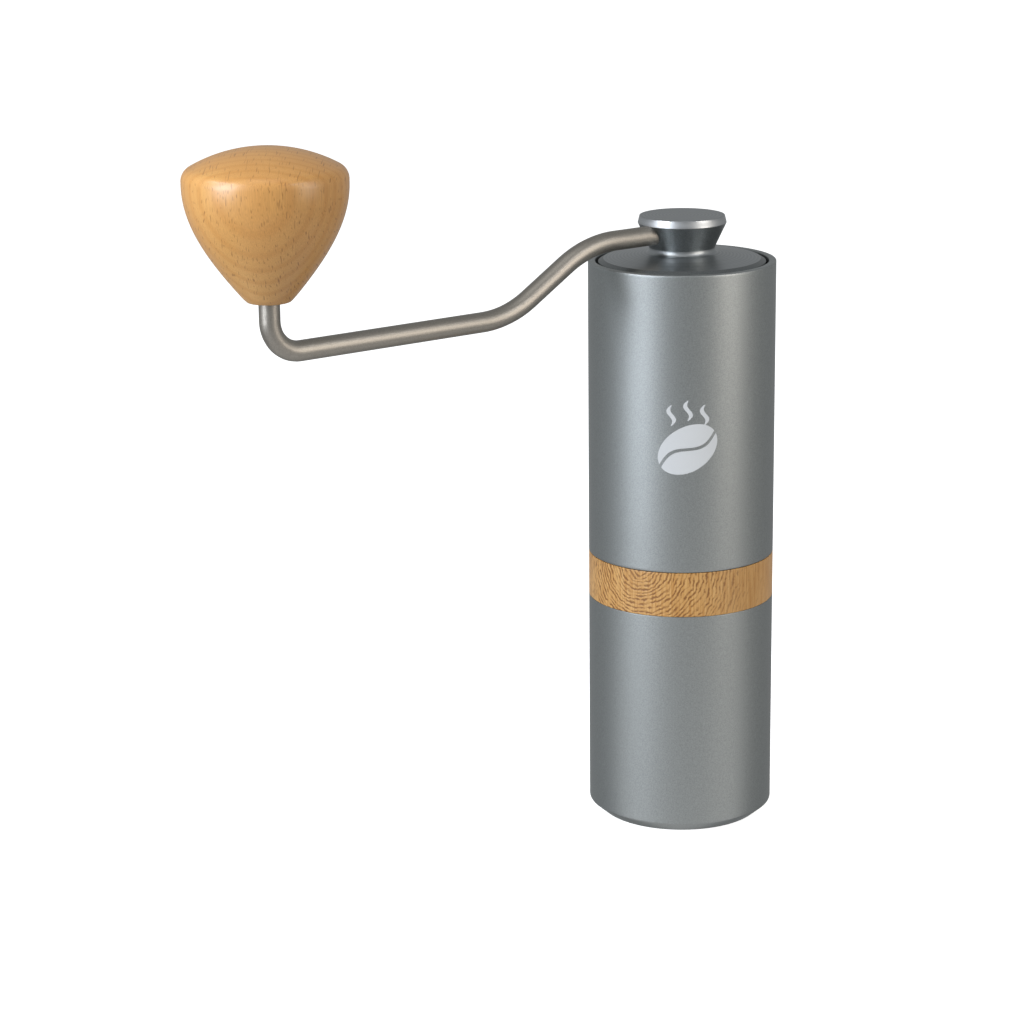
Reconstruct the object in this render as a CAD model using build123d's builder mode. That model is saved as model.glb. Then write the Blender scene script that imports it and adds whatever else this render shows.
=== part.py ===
from build123d import *
import os
from math import asin, cos, radians, sin, sqrt, tan

# Hand crank coffee grinder. Millimetres, +Z up, origin at the centre of the cup's base.
# The crank arm points along -X at rest. From the bottom up: grounds cup with its wood band,
# thread collar and burrs, bean chamber in the body tube, lid and crown, and the arm and knob.

# ------------------------------------------------------------------ driving sizes

# Outside of the body
body_dia = 48.0
cup_height = 58.9
band_height = 11.7
tube_height = 76.4

# Gaps between pieces
seam_gap = 0.1
press_gap = 0.01
neck_gap = 0.2
slip_gap = 0.05
free_gap = 0.3

# How far cutting shapes pass the surface that they cut
cut_margin = 1.0

# Grounds cup
base_chamfer_out = 3.15
base_chamfer_up = 2.65
base_edge_fillet = 0.6
cup_floor = 3.0
cup_floor_fillet = 2.5
cup_wall = 2.6
band_wall = 2.1
neck_wall = 1.4
neck_length_inside = 14.0
cup_edge_chamfer = 0.15

# Body tube, with its steps counted down from the rim or up from the seam
rim_wall = 1.85
chamber_wall = 3.4
lid_recess_depth = 7.0
upper_seat_depth = 29.0
upper_seat_step = 0.8
carrier_depth = 25.4
rim_edge_break = 0.25

# Thread between cup and body, drawn as plain rings
thread_pitch = 1.5
thread_depth = 0.5
thread_gap = 0.25
thread_length = 8.4
thread_turns = 4
thread_lead = 0.5
collar_wall = 3.75
collar_flange = 2.9
notch_width = 4.0
notch_depth = 2.0
oring_section = 1.1
oring_drop = 1.0

# Bearings: 8 mm bore, 16 mm outside, 5 mm wide
bearing_bore = 8.0
bearing_dia = 16.0
bearing_width = 5.0
race_groove_depth = 0.19
ball_dia = 2.38
ball_count = 9
cage_wall = 0.5
cage_height = 3.2
shield_thickness = 0.3
shield_inset = 0.3

# Carriers that hold the bearings
hub_wall = 1.6
hub_floor = 1.4
lower_hub_floor = 0.7
lip_dia = 13.0
rib_width = 3.2
rib_count = 3
rib_root = 0.5
rib_inset = 1.0
rib_start = 90
upper_carrier_height = 8.0
upper_ring_wall = 2.15
burr_seat_wall = 3.05
snap_ring_thickness = 1.1
snap_ring_width = 2.2
snap_ring_gap = 40.0
funnel_lip = 0.2
hub_skirt = 0.8

# Burrs
burr_height = 16.4
burr_edge_wall = 3.95
burr_throat_rise = 3.5
burr_throat_wall = 5.35
burr_mouth_wall = 2.4
burr_gap = 0.45
cone_height = 15.0
cone_fine_height = 4.5
cone_drop = 1.5
cone_top_dia = 15.2
cone_fine_slope = 0.4
cone_top_tooth_depth = 0.7
fine_teeth = 36
coarse_teeth = 7
ring_teeth = 12
fine_tooth_depth = 0.6
cone_tooth_depth = 2.3
pin_dia = 2.0
pin_length = 5.0
pin_count = 2
ring_tooth_depth = 1.0
fine_twist = 4.0
coarse_twist = 20.0
tooth_root_share = 0.25

# Shaft
shaft_body_dia = 9.6
hex_flats = 6.35
hex_gap = 0.075
hex_shoulder = 0.3
journal_overrun = 1.0
circlip_thickness = 0.8
circlip_dia = 11.2
circlip_groove = 0.25
circlip_gap = 60.0
end_clip_dia = 8.0
tip_chamfer = 0.4
dial_thread_dia = 5.0
shaft_top_under_crown = 8.95

# Grind setting
dial_dia = 22.0
dial_height = 7.0
dial_hub_dia = 12.0
dial_hub_height = 1.5
dial_gap = 0.1
dial_travel_up = 0.14
dial_travel_down = 2.0
detent_dia = 2.0
detent_radius = 8.0
detent_count = 2
detent_pocket = 4.5
dimple_count = 12
dimple_depth = 0.2
knurl_count = 24
knurl_dia = 2.4
spring_wire = 0.8
spring_mean_dia = 9.8
spring_turns = 5
spring_pocket_dia = 12.0
spring_pocket_depth = 7.5
washer_thickness = 0.6
detent_wire = 0.3
detent_turns = 4

# Lid and crown, heights counted up from the rim
lid_rise = 0.45
lid_edge_drop = 0.3
lid_gap = 0.75
lid_flat_inset = 1.34
lid_slope = 7.25
lid_edge_height = 3.1
lid_web = 3.2
lid_boss_dia = 15.8
lid_boss_drop = 11.0
spigot_wall = 1.9
spigot_height = 3.0
crown_height = 11.45
crown_top_dia = 21.7
crown_dia = 22.6
crown_band = 1.85
crown_cone = 25.0
waist_fillet = 1.3
socket_dia = 9.6
socket_floor = 0.5
socket_headroom = 0.4
glide_ring_height = 3.25
grub_dia = 2.5
grub_radius = 6.45
grub_length = 6.4
grub_hex = 1.3

# Crank arm, a bent round bar
rod_dia = 5.0
rod_over_rim = 7.2
rod_depth_past_axis = 1.5
rod_drop = 15.5
rod_bend_start = 30.45
rod_bend_end = 55.5
arm_reach = 123.8
hub_bend_radius = 29.8
low_bend_radius = 27.1
upright_bend_radius = 8.0
upright_height = 36.3

# Knob. Its flank's points are shares of its radius and of its height.
knob_dia = 38.44
knob_base_dia = 10.2
knob_base_flare = 0.8
knob_base_rise = 12.6
knob_belly_rise = 39.9
knob_dome_radius = 36.0
knob_top_rise = 48.36
knob_shoulder_fillet = 3.5
knob_flank = ((0.56, 0.231), (0.793, 0.473), (0.944, 0.733))
knob_flank_slope = 1.05
bush_wall = 1.4
bush_length = 21.4
bush_inset = 0.3
thrust_disc_thickness = 1.0
rod_clip_thickness = 0.8
rod_clip_groove = 0.3
rod_clip_wall = 1.1

# ------------------------------------------------------------------ heights and radii

body_r = body_dia / 2
band_z = cup_height
seam_z = band_z + band_height
rim_z = seam_z + tube_height

rim_bore_r = body_r - rim_wall
chamber_r = body_r - chamber_wall
upper_seat_r = chamber_r + upper_seat_step
lid_step_z = rim_z - lid_recess_depth
upper_seat_z = rim_z - upper_seat_depth
carrier_top_z = seam_z + carrier_depth
snap_ring_z = upper_seat_z + upper_carrier_height + seam_gap

neck_r = body_r - band_wall
neck_bore_r = neck_r - neck_wall
cup_bore_r = body_r - cup_wall
thread_r = neck_bore_r - thread_gap
thread_foot_z = seam_z - thread_length + thread_lead

bearing_bore_r = bearing_bore / 2
bearing_r = bearing_dia / 2
pitch_r = (bearing_r + bearing_bore_r) / 2
ball_r = ball_dia / 2
outer_race_r = pitch_r + ball_r - race_groove_depth
inner_race_r = pitch_r - ball_r + race_groove_depth
hub_r = bearing_r + hub_wall
lip_r = lip_dia / 2

upper_bearing_z = upper_seat_z + hub_floor
lower_bearing_z = carrier_top_z - lower_hub_floor - bearing_width

carrier_r = rim_bore_r - slip_gap
burr_r = carrier_r - burr_seat_wall
burr_z = seam_z + collar_flange + slip_gap
burr_top_z = burr_z + burr_height
collar_r = thread_r - collar_wall

cone_z = burr_z - cone_drop
cone_top_z = cone_z + cone_height
fine_top_z = cone_z + cone_fine_height
ring_edge_r = burr_r - burr_edge_wall
ring_throat_r = burr_r - burr_throat_wall
ring_mouth_r = burr_r - burr_mouth_wall
cone_r = ring_edge_r - burr_gap + cone_fine_slope * cone_drop
cone_fine_top_r = cone_r - cone_fine_slope * cone_fine_height

oring_z = seam_z - oring_drop
hex_round_r = bearing_bore_r - hex_shoulder

upper_circlip_z = upper_bearing_z + bearing_width
lower_circlip_z = lower_bearing_z - circlip_thickness
journal_foot_z = lower_circlip_z - journal_overrun
journal_top_z = upper_circlip_z + circlip_thickness + journal_overrun
washer_z = lower_circlip_z - slip_gap - washer_thickness
spring_floor_z = cone_top_z - spring_pocket_depth
dial_top_z = cone_z - dial_gap
dial_z = dial_top_z - dial_height
dial_disc_z = dial_z + dial_hub_height
hex_foot_z = dial_top_z + dial_travel_up + free_gap
end_clip_z = dial_z - dial_travel_down - circlip_thickness
shaft_foot_z = end_clip_z - circlip_thickness

hub_z = rim_z + rod_over_rim
crown_top_z = rim_z + crown_height
lid_top_z = rim_z + lid_rise
lid_edge_z = rim_z - lid_edge_drop
lid_foot_z = lid_edge_z - lid_edge_height
lid_r = rim_bore_r - lid_gap
web_z = rim_z + lid_rise - lid_web
boss_z = rim_z - lid_boss_drop
spigot_z = lid_foot_z - spigot_height
spigot_r = lid_r - spigot_wall
spigot_bore_r = spigot_r - spigot_wall
shaft_top_z = crown_top_z - shaft_top_under_crown
socket_top_z = shaft_top_z + socket_floor + socket_headroom

rod_r = rod_dia / 2
low_run_z = hub_z - rod_drop
rod_top_z = low_run_z + upright_height
knob_z = low_run_z + knob_base_rise
knob_top_z = low_run_z + knob_top_rise
belly_z = low_run_z + knob_belly_rise
knob_r = knob_dia / 2
bush_r = rod_r + slip_gap + bush_wall
bush_z = knob_z + bush_inset
bush_top_z = bush_z + bush_length
rod_clip_z = bush_top_z + slip_gap
disc_z = rod_top_z + slip_gap

section = Plane.XZ
knob_section = Plane(origin=(-arm_reach, 0, 0), x_dir=(1, 0, 0), z_dir=(0, -1, 0))
knob_axis = Axis((-arm_reach, 0, 0), (0, 0, 1))

os.makedirs("parts", exist_ok=True)


# ------------------------------------------------------------------ shared shapes


def outline(*corners, mode=Mode.ADD):
    """Face inside a closed outline of (radius, height) corners, in the current sketch."""
    with BuildLine() as edge:
        Polyline(*corners, close=True)
    make_face(edge.edges(), mode=mode)


def ring_section(inner, outer, low, high, mode=Mode.ADD):
    """Rectangular cross-section of a ring, in the current sketch."""
    outline((inner, low), (outer, low), (outer, high), (inner, high), mode=mode)


def groove_sections(radius, depth, first):
    """Row of V grooves cut from a wall of the given radius, in the current sketch.

    A positive depth cuts outwards from a bore, a negative one cuts into a spigot.
    """
    for i in range(thread_turns):
        low = first + i * thread_pitch
        middle = low + thread_pitch / 2
        high = low + thread_pitch
        outline((radius, low), (radius + depth, middle), (radius, high), mode=Mode.SUBTRACT)


def open_ring(inner, outer, gap_angle):
    """Flat ring with a gap on its +Y side, in the current sketch."""
    Circle(outer)
    Circle(inner, mode=Mode.SUBTRACT)
    reach = outer * 2
    side = reach * tan(radians(gap_angle / 2))
    Polygon((0, 0), (side, reach), (-side, reach), align=None, mode=Mode.SUBTRACT)


def ribs(outer):
    """Ribs from the bearing's hub out to a wall of the given radius, in the current sketch."""
    length = outer - hub_r + 2 * rib_root
    with PolarLocations(hub_r - rib_root + length / 2, rib_count, start_angle=rib_start):
        Rectangle(length, rib_width)


def saw_teeth(teeth, tip, root, turn):
    """Polygon with saw teeth round the axis, turned by an angle in degrees."""
    pitch = 360 / teeth
    points = []
    for i in range(teeth):
        for radius, share in ((tip, 0), (root, tooth_root_share)):
            angle = radians(turn + pitch * (i + share))
            points.append((radius * cos(angle), radius * sin(angle)))
    Polygon(*points, align=None)


def coil(radius, wire, low, high, turns):
    """Round-wire compression spring about Z between two heights, in the current part."""
    height = high - low - wire
    with BuildLine() as path:
        Helix(height / turns, height, radius, center=(0, 0, low + wire / 2))
    with BuildSketch(Plane(origin=path.line @ 0, z_dir=path.line % 0)) as wire_end:
        Circle(wire / 2)
    sweep(wire_end.sketch, path=path.line)


def bearing(place, low):
    """Shielded ball bearing that stands on a height, as five pieces."""
    middle = low + bearing_width / 2
    race_groove_r = ball_r + slip_gap

    with BuildPart() as outer:
        with BuildSketch(section):
            ring_section(outer_race_r, bearing_r, low, low + bearing_width)
            with Locations((pitch_r, middle)):
                Circle(race_groove_r, mode=Mode.SUBTRACT)
        revolve(axis=Axis.Z)
    outer.part.label = f"{place}_bearing_outer"
    export_step(outer.part, f"parts/{place}_bearing_outer.step")

    with BuildPart() as inner:
        with BuildSketch(section):
            ring_section(bearing_bore_r + press_gap, inner_race_r, low, low + bearing_width)
            with Locations((pitch_r, middle)):
                Circle(race_groove_r, mode=Mode.SUBTRACT)
        revolve(axis=Axis.Z)
    inner.part.label = f"{place}_bearing_inner"
    export_step(inner.part, f"parts/{place}_bearing_inner.step")

    with BuildPart() as balls:
        with Locations((0, 0, middle)):
            with PolarLocations(pitch_r, ball_count):
                Sphere(ball_r)
    balls.part.label = f"{place}_bearing_balls"
    export_step(balls.part, f"parts/{place}_bearing_balls.step")

    with BuildPart() as cage:
        with BuildSketch(section):
            ring_section(
                pitch_r - cage_wall / 2,
                pitch_r + cage_wall / 2,
                middle - cage_height / 2,
                middle + cage_height / 2,
            )
        revolve(axis=Axis.Z)
        with Locations((0, 0, middle)):
            with PolarLocations(pitch_r, ball_count):
                Cylinder(
                    ball_r + slip_gap,
                    cage_wall + 2 * cut_margin,
                    rotation=(0, 90, 0),
                    mode=Mode.SUBTRACT,
                )
    cage.part.label = f"{place}_bearing_cage"
    export_step(cage.part, f"parts/{place}_bearing_cage.step")

    with BuildPart() as shields:
        with BuildSketch(section):
            for foot in (
                low + shield_inset,
                low + bearing_width - shield_inset - shield_thickness,
            ):
                ring_section(
                    inner_race_r + free_gap,
                    outer_race_r - press_gap,
                    foot,
                    foot + shield_thickness,
                )
        revolve(axis=Axis.Z)
    shields.part.label = f"{place}_bearing_shields"
    export_step(shields.part, f"parts/{place}_bearing_shields.step")


# ------------------------------------------------------------------ grounds cup and band

# The cup is one turned piece: a chamfered base, a thin wall, and a neck for the wood band.
with BuildPart() as cup:
    with BuildSketch(section) as cup_sketch:
        outline(
            (0, 0),
            (body_r - base_chamfer_out, 0),
            (body_r, base_chamfer_up),
            (body_r, band_z - cup_edge_chamfer),
            (body_r - cup_edge_chamfer, band_z),
            (neck_r, band_z),
            (neck_r, seam_z - neck_gap),
            (neck_bore_r, seam_z - neck_gap),
            (neck_bore_r, seam_z - neck_length_inside),
            (cup_bore_r, seam_z - neck_length_inside - (cup_bore_r - neck_bore_r)),
            (cup_bore_r, cup_floor),
            (0, cup_floor),
        )
        fillet(cup_sketch.vertices().sort_by_distance((body_r, base_chamfer_up))[0], base_edge_fillet)
        fillet(cup_sketch.vertices().sort_by_distance((cup_bore_r, cup_floor))[0], cup_floor_fillet)
        groove_sections(neck_bore_r - press_gap, thread_depth, thread_foot_z)
    revolve(axis=Axis.Z)
cup.part.label = "grounds_cup"
export_step(cup.part, "parts/grounds_cup.step")

with BuildPart() as band:
    with BuildSketch(section):
        ring_section(neck_r + slip_gap, body_r, band_z + slip_gap, seam_z - seam_gap)
    revolve(axis=Axis.Z)
band.part.label = "wood_ring"
export_step(band.part, "parts/wood_ring.step")

# ------------------------------------------------------------------ body tube

# The bore steps twice: the burr carrier butts the lower step, the upper carrier sits on the
# second, and the lid turns in the recess at the rim.
with BuildPart() as tube:
    with BuildSketch(section) as tube_sketch:
        outline(
            (rim_bore_r, seam_z),
            (body_r, seam_z),
            (body_r, rim_z),
            (rim_bore_r, rim_z),
            (rim_bore_r, lid_step_z),
            (upper_seat_r, lid_step_z),
            (upper_seat_r, upper_seat_z),
            (chamber_r, upper_seat_z),
            (chamber_r, carrier_top_z),
            (rim_bore_r, carrier_top_z),
        )
        rim_corners = tube_sketch.vertices().group_by(Axis.Y)[-1]
        fillet(rim_corners, rim_edge_break)
        ring_section(
            chamber_r,
            rim_bore_r,
            snap_ring_z - slip_gap,
            snap_ring_z + snap_ring_thickness + slip_gap,
            mode=Mode.SUBTRACT,
        )
    revolve(axis=Axis.Z)
tube.part.label = "body_tube"
export_step(tube.part, "parts/body_tube.step")

# ------------------------------------------------------------------ upper carrier

with BuildPart() as upper_carrier:
    with BuildSketch(section):
        ring_section(
            upper_seat_r - upper_ring_wall,
            upper_seat_r - slip_gap,
            upper_seat_z,
            upper_seat_z + upper_carrier_height,
        )
        outline(
            (lip_r, upper_seat_z),
            (hub_r, upper_seat_z),
            (hub_r, upper_bearing_z + bearing_width),
            (bearing_r + press_gap, upper_bearing_z + bearing_width),
            (bearing_r + press_gap, upper_bearing_z),
            (lip_r, upper_bearing_z),
        )
    revolve(axis=Axis.Z)
    with BuildSketch(Plane.XY.offset(upper_seat_z + rib_inset)):
        ribs(upper_seat_r - upper_ring_wall)
    extrude(amount=upper_carrier_height - 2 * rib_inset)
upper_carrier.part.label = "upper_carrier"
export_step(upper_carrier.part, "parts/upper_carrier.step")

with BuildPart() as snap_ring:
    with BuildSketch(Plane.XY.offset(snap_ring_z)):
        open_ring(rim_bore_r - snap_ring_width, rim_bore_r - slip_gap, snap_ring_gap)
    extrude(amount=snap_ring_thickness)
snap_ring.part.label = "carrier_snap_ring"
export_step(snap_ring.part, "parts/carrier_snap_ring.step")

# ------------------------------------------------------------------ burr carrier

# The ring burr is pushed up into this carrier from below, against the funnel's lower face.
with BuildPart() as burr_carrier:
    with BuildSketch(section):
        outline(
            (burr_r + slip_gap, burr_z + slip_gap),
            (carrier_r, burr_z + slip_gap),
            (carrier_r, carrier_top_z - slip_gap),
            (chamber_r - funnel_lip, carrier_top_z - slip_gap),
            (ring_mouth_r + funnel_lip, burr_top_z + slip_gap),
            (burr_r + slip_gap, burr_top_z + slip_gap),
        )
        outline(
            (bearing_r + press_gap, lower_bearing_z - hub_skirt),
            (hub_r, lower_bearing_z - hub_skirt),
            (hub_r, carrier_top_z - slip_gap),
            (lip_r, carrier_top_z - slip_gap),
            (lip_r, lower_bearing_z + bearing_width),
            (bearing_r + press_gap, lower_bearing_z + bearing_width),
        )
    revolve(axis=Axis.Z)
    with BuildSketch(Plane.XY.offset(burr_top_z + slip_gap)):
        ribs(burr_r + rib_root)
    extrude(amount=carrier_top_z - burr_top_z - rib_inset)
    with BuildSketch(Plane.XY.offset(burr_z + slip_gap)):
        with PolarLocations(burr_r, pin_count):
            Circle(pin_dia / 2 + press_gap)
    extrude(amount=pin_length + slip_gap, mode=Mode.SUBTRACT)
burr_carrier.part.label = "burr_carrier"
export_step(burr_carrier.part, "parts/burr_carrier.step")

# ------------------------------------------------------------------ bearings

bearing("upper", upper_bearing_z)
bearing("lower", lower_bearing_z)

# ------------------------------------------------------------------ ring burr

# The bore narrows from the mouth to the throat with coarse teeth, then widens again to the
# grinding edge with fine teeth.
throat_z = burr_z + burr_throat_rise
with BuildPart() as ring_burr:
    with BuildSketch(Plane.XY.offset(burr_z)):
        Circle(burr_r)
    extrude(amount=burr_height)
    with BuildSketch(Plane.XY.offset(burr_z)):
        saw_teeth(fine_teeth, ring_edge_r, ring_edge_r + fine_tooth_depth, 0)
    with BuildSketch(Plane.XY.offset(throat_z)):
        saw_teeth(fine_teeth, ring_throat_r, ring_throat_r + fine_tooth_depth, fine_twist)
    loft(ruled=True, mode=Mode.SUBTRACT)
    with BuildSketch(Plane.XY.offset(throat_z)):
        saw_teeth(ring_teeth, ring_throat_r, ring_throat_r + fine_tooth_depth, 0)
    with BuildSketch(Plane.XY.offset(burr_top_z)):
        saw_teeth(ring_teeth, ring_mouth_r - ring_tooth_depth, ring_mouth_r, coarse_twist / 2)
    loft(ruled=True, mode=Mode.SUBTRACT)
    with BuildSketch(Plane.XY.offset(burr_z)):
        with PolarLocations(burr_r, pin_count):
            Circle(pin_dia / 2 + press_gap)
    extrude(amount=pin_length, mode=Mode.SUBTRACT)
ring_burr.part.label = "outer_burr"
export_step(ring_burr.part, "parts/outer_burr.step")

with BuildPart() as pins:
    with BuildSketch(Plane.XY.offset(burr_z)):
        with PolarLocations(burr_r, pin_count):
            Circle(pin_dia / 2)
    extrude(amount=pin_length)
pins.part.label = "burr_pins"
export_step(pins.part, "parts/burr_pins.step")

# ------------------------------------------------------------------ thread collar

with BuildPart() as collar:
    with BuildSketch(section):
        outline(
            (collar_r, seam_z - thread_length),
            (thread_r, seam_z - thread_length),
            (thread_r, seam_z),
            (carrier_r, seam_z),
            (carrier_r, seam_z + collar_flange),
            (collar_r, seam_z + collar_flange),
        )
        groove_sections(thread_r + press_gap, -thread_depth, thread_foot_z)
        ring_section(
            thread_r - oring_section,
            thread_r + cut_margin,
            oring_z - oring_section / 2 - slip_gap,
            oring_z + oring_section / 2 + slip_gap,
            mode=Mode.SUBTRACT,
        )
    revolve(axis=Axis.Z)
    with BuildSketch(Plane.XY.offset(seam_z - thread_length)):
        Rectangle(body_dia, notch_width)
    extrude(amount=notch_depth, mode=Mode.SUBTRACT)
collar.part.label = "thread_collar"
export_step(collar.part, "parts/thread_collar.step")

with BuildPart() as oring:
    with BuildSketch(section):
        with Locations((thread_r - oring_section / 2 + slip_gap, oring_z)):
            Circle(oring_section / 2)
    revolve(axis=Axis.Z)
oring.part.label = "collar_oring"
export_step(oring.part, "parts/collar_oring.step")

# ------------------------------------------------------------------ main shaft and its clips

with BuildPart() as shaft:
    with BuildSketch(section):
        outline(
            (0, shaft_foot_z),
            (dial_thread_dia / 2, shaft_foot_z),
            (dial_thread_dia / 2, hex_foot_z),
            (hex_round_r, hex_foot_z),
            (hex_round_r, journal_foot_z),
            (bearing_bore_r, journal_foot_z),
            (bearing_bore_r, lower_bearing_z + bearing_width),
            (shaft_body_dia / 2, lower_bearing_z + bearing_width),
            (shaft_body_dia / 2, upper_bearing_z),
            (bearing_bore_r, upper_bearing_z),
            (bearing_bore_r, journal_top_z),
            (hex_round_r, journal_top_z),
            (hex_round_r, shaft_top_z),
            (0, shaft_top_z),
        )
        for foot, radius in (
            (upper_circlip_z, bearing_bore_r),
            (lower_circlip_z, bearing_bore_r),
            (end_clip_z, dial_thread_dia / 2),
        ):
            ring_section(
                radius - circlip_groove,
                radius + cut_margin,
                foot,
                foot + circlip_thickness,
                mode=Mode.SUBTRACT,
            )
    revolve(axis=Axis.Z)
    for foot, head in (
        (hex_foot_z, journal_foot_z),
        (journal_top_z, shaft_top_z),
    ):
        with BuildSketch(Plane.XY.offset(foot)):
            Circle(bearing_r)
            RegularPolygon(hex_flats / 2, 6, major_radius=False, mode=Mode.SUBTRACT)
        extrude(amount=head - foot, mode=Mode.SUBTRACT)
    chamfer(shaft.edges().group_by(Axis.Z)[-1], tip_chamfer)
shaft.part.label = "main_shaft"
export_step(shaft.part, "parts/main_shaft.step")

with BuildPart() as circlips:
    for foot in (upper_circlip_z, lower_circlip_z):
        with BuildSketch(Plane.XY.offset(foot)):
            open_ring(bearing_bore_r - circlip_groove + press_gap, circlip_dia / 2, circlip_gap)
        extrude(amount=circlip_thickness)
circlips.part.label = "shaft_circlips"
export_step(circlips.part, "parts/shaft_circlips.step")

with BuildPart() as end_clip:
    with BuildSketch(Plane.XY.offset(end_clip_z)):
        open_ring(dial_thread_dia / 2 - circlip_groove + press_gap, end_clip_dia / 2, circlip_gap)
    extrude(amount=circlip_thickness)
end_clip.part.label = "shaft_end_clip"
export_step(end_clip.part, "parts/shaft_end_clip.step")

with BuildPart() as washer:
    with BuildSketch(Plane.XY.offset(washer_z)):
        Circle(spring_pocket_dia / 2 - slip_gap)
        Circle(bearing_bore_r + slip_gap, mode=Mode.SUBTRACT)
    extrude(amount=washer_thickness)
washer.part.label = "spring_washer"
export_step(washer.part, "parts/spring_washer.step")

# ------------------------------------------------------------------ cone burr

with BuildPart() as cone:
    with BuildSketch(Plane.XY.offset(cone_z)):
        saw_teeth(fine_teeth, cone_r, cone_r - fine_tooth_depth, 0)
    with BuildSketch(Plane.XY.offset(fine_top_z)):
        saw_teeth(fine_teeth, cone_fine_top_r, cone_fine_top_r - fine_tooth_depth, fine_twist)
    loft(ruled=True)
    with BuildSketch(Plane.XY.offset(fine_top_z)):
        saw_teeth(coarse_teeth, cone_fine_top_r - slip_gap, cone_fine_top_r - cone_tooth_depth, 0)
    with BuildSketch(Plane.XY.offset(cone_top_z)):
        saw_teeth(
            coarse_teeth, cone_top_dia / 2, cone_top_dia / 2 - cone_top_tooth_depth, coarse_twist
        )
    loft(ruled=True)
    with BuildSketch(Plane.XY.offset(cone_z)):
        RegularPolygon(hex_flats / 2 + slip_gap, 6, major_radius=False)
    extrude(amount=cone_height, mode=Mode.SUBTRACT)
    with BuildSketch(Plane.XY.offset(spring_floor_z)):
        Circle(spring_pocket_dia / 2)
    extrude(amount=spring_pocket_depth, mode=Mode.SUBTRACT)
    with BuildSketch(Plane.XY.offset(cone_z)):
        with PolarLocations(detent_radius, detent_count):
            Circle(detent_dia / 2 + slip_gap)
    extrude(amount=detent_pocket, mode=Mode.SUBTRACT)
cone.part.label = "inner_burr"
export_step(cone.part, "parts/inner_burr.step")

with BuildPart() as spring:
    coil(spring_mean_dia / 2, spring_wire, spring_floor_z, washer_z, spring_turns)
spring.part.label = "burr_spring"
export_step(spring.part, "parts/burr_spring.step")

ball_z = dial_top_z + slip_gap + detent_dia / 2
with BuildPart() as detent_balls:
    with Locations((0, 0, ball_z)):
        with PolarLocations(detent_radius, detent_count):
            Sphere(detent_dia / 2)
detent_balls.part.label = "detent_balls"
export_step(detent_balls.part, "parts/detent_balls.step")

with BuildPart() as detent_coil:
    coil(
        detent_dia / 2 - detent_wire,
        detent_wire,
        ball_z + detent_dia / 2,
        cone_z + detent_pocket,
        detent_turns,
    )
with BuildPart() as detent_springs:
    with PolarLocations(detent_radius, detent_count):
        add(detent_coil.part)
detent_springs.part.label = "detent_springs"
export_step(detent_springs.part, "parts/detent_springs.step")

# ------------------------------------------------------------------ adjusting dial

with BuildPart() as dial:
    with BuildSketch(Plane.XY.offset(dial_z)):
        Circle(dial_hub_dia / 2)
    extrude(amount=dial_hub_height)
    with BuildSketch(Plane.XY.offset(dial_disc_z)):
        Circle(dial_dia / 2)
        with PolarLocations(dial_dia / 2 + knurl_dia / 4, knurl_count):
            Circle(knurl_dia / 2, mode=Mode.SUBTRACT)
    extrude(amount=dial_height - dial_hub_height)
    with Locations((0, 0, dial_top_z - dimple_depth + detent_dia / 2)):
        with PolarLocations(detent_radius, dimple_count):
            Sphere(detent_dia / 2, mode=Mode.SUBTRACT)
    with BuildSketch(Plane.XY.offset(dial_z)):
        Circle(dial_thread_dia / 2 + slip_gap)
    extrude(amount=dial_height, mode=Mode.SUBTRACT)
dial.part.label = "adjusting_dial"
export_step(dial.part, "parts/adjusting_dial.step")

# ------------------------------------------------------------------ lid and crown

# Lid and crown are one turned piece. The lid's face rises gently to the waist, and a concave
# fillet turns it into the crown's cone.
lean = tan(radians(crown_cone))
flat_edge_r = lid_r - lid_flat_inset
rise = tan(radians(lid_slope))
crown_corner_z = crown_top_z - crown_band
waist_z = (
    lid_top_z + rise * (flat_edge_r - crown_dia / 2 + lean * crown_corner_z)
) / (1 + rise * lean)
waist_r = crown_dia / 2 - lean * (crown_corner_z - waist_z)

with BuildPart() as cap:
    with BuildSketch(section) as cap_sketch:
        outline(
            (0, crown_top_z),
            (crown_top_dia / 2, crown_top_z),
            (crown_dia / 2, crown_corner_z),
            (waist_r, waist_z),
            (flat_edge_r, lid_top_z),
            (lid_r, lid_edge_z),
            (lid_r, lid_foot_z),
            (spigot_r, lid_foot_z),
            (spigot_r, spigot_z),
            (spigot_bore_r, spigot_z),
            (spigot_bore_r, web_z),
            (lid_boss_dia / 2, web_z),
            (lid_boss_dia / 2, boss_z),
            (0, boss_z),
        )
        fillet(cap_sketch.vertices().sort_by_distance((waist_r, waist_z))[0], waist_fillet)
    revolve(axis=Axis.Z)
    with BuildSketch(Plane.XY.offset(boss_z)):
        Circle(socket_dia / 2 + press_gap)
    extrude(amount=socket_top_z + press_gap - boss_z, mode=Mode.SUBTRACT)
    with BuildSketch(Plane.YZ.offset(rod_depth_past_axis + press_gap)):
        with Locations((0, hub_z)):
            Circle(rod_r + press_gap)
    extrude(amount=-body_r, mode=Mode.SUBTRACT)
    with BuildSketch(Plane.XY.offset(boss_z)):
        with Locations((-grub_radius, 0)):
            Circle(grub_dia / 2 + press_gap)
    extrude(amount=hub_z - boss_z, mode=Mode.SUBTRACT)
cap.part.label = "crank_cap"
export_step(cap.part, "parts/crank_cap.step")

with BuildPart() as socket:
    with BuildSketch(Plane.XY.offset(boss_z)):
        Circle(socket_dia / 2)
    extrude(amount=socket_top_z - boss_z)
    with BuildSketch(Plane.XY.offset(boss_z)):
        RegularPolygon(hex_flats / 2 + hex_gap, 6, major_radius=False)
    extrude(amount=socket_top_z - socket_floor - boss_z, mode=Mode.SUBTRACT)
socket.part.label = "hub_socket"
export_step(socket.part, "parts/hub_socket.step")

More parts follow.
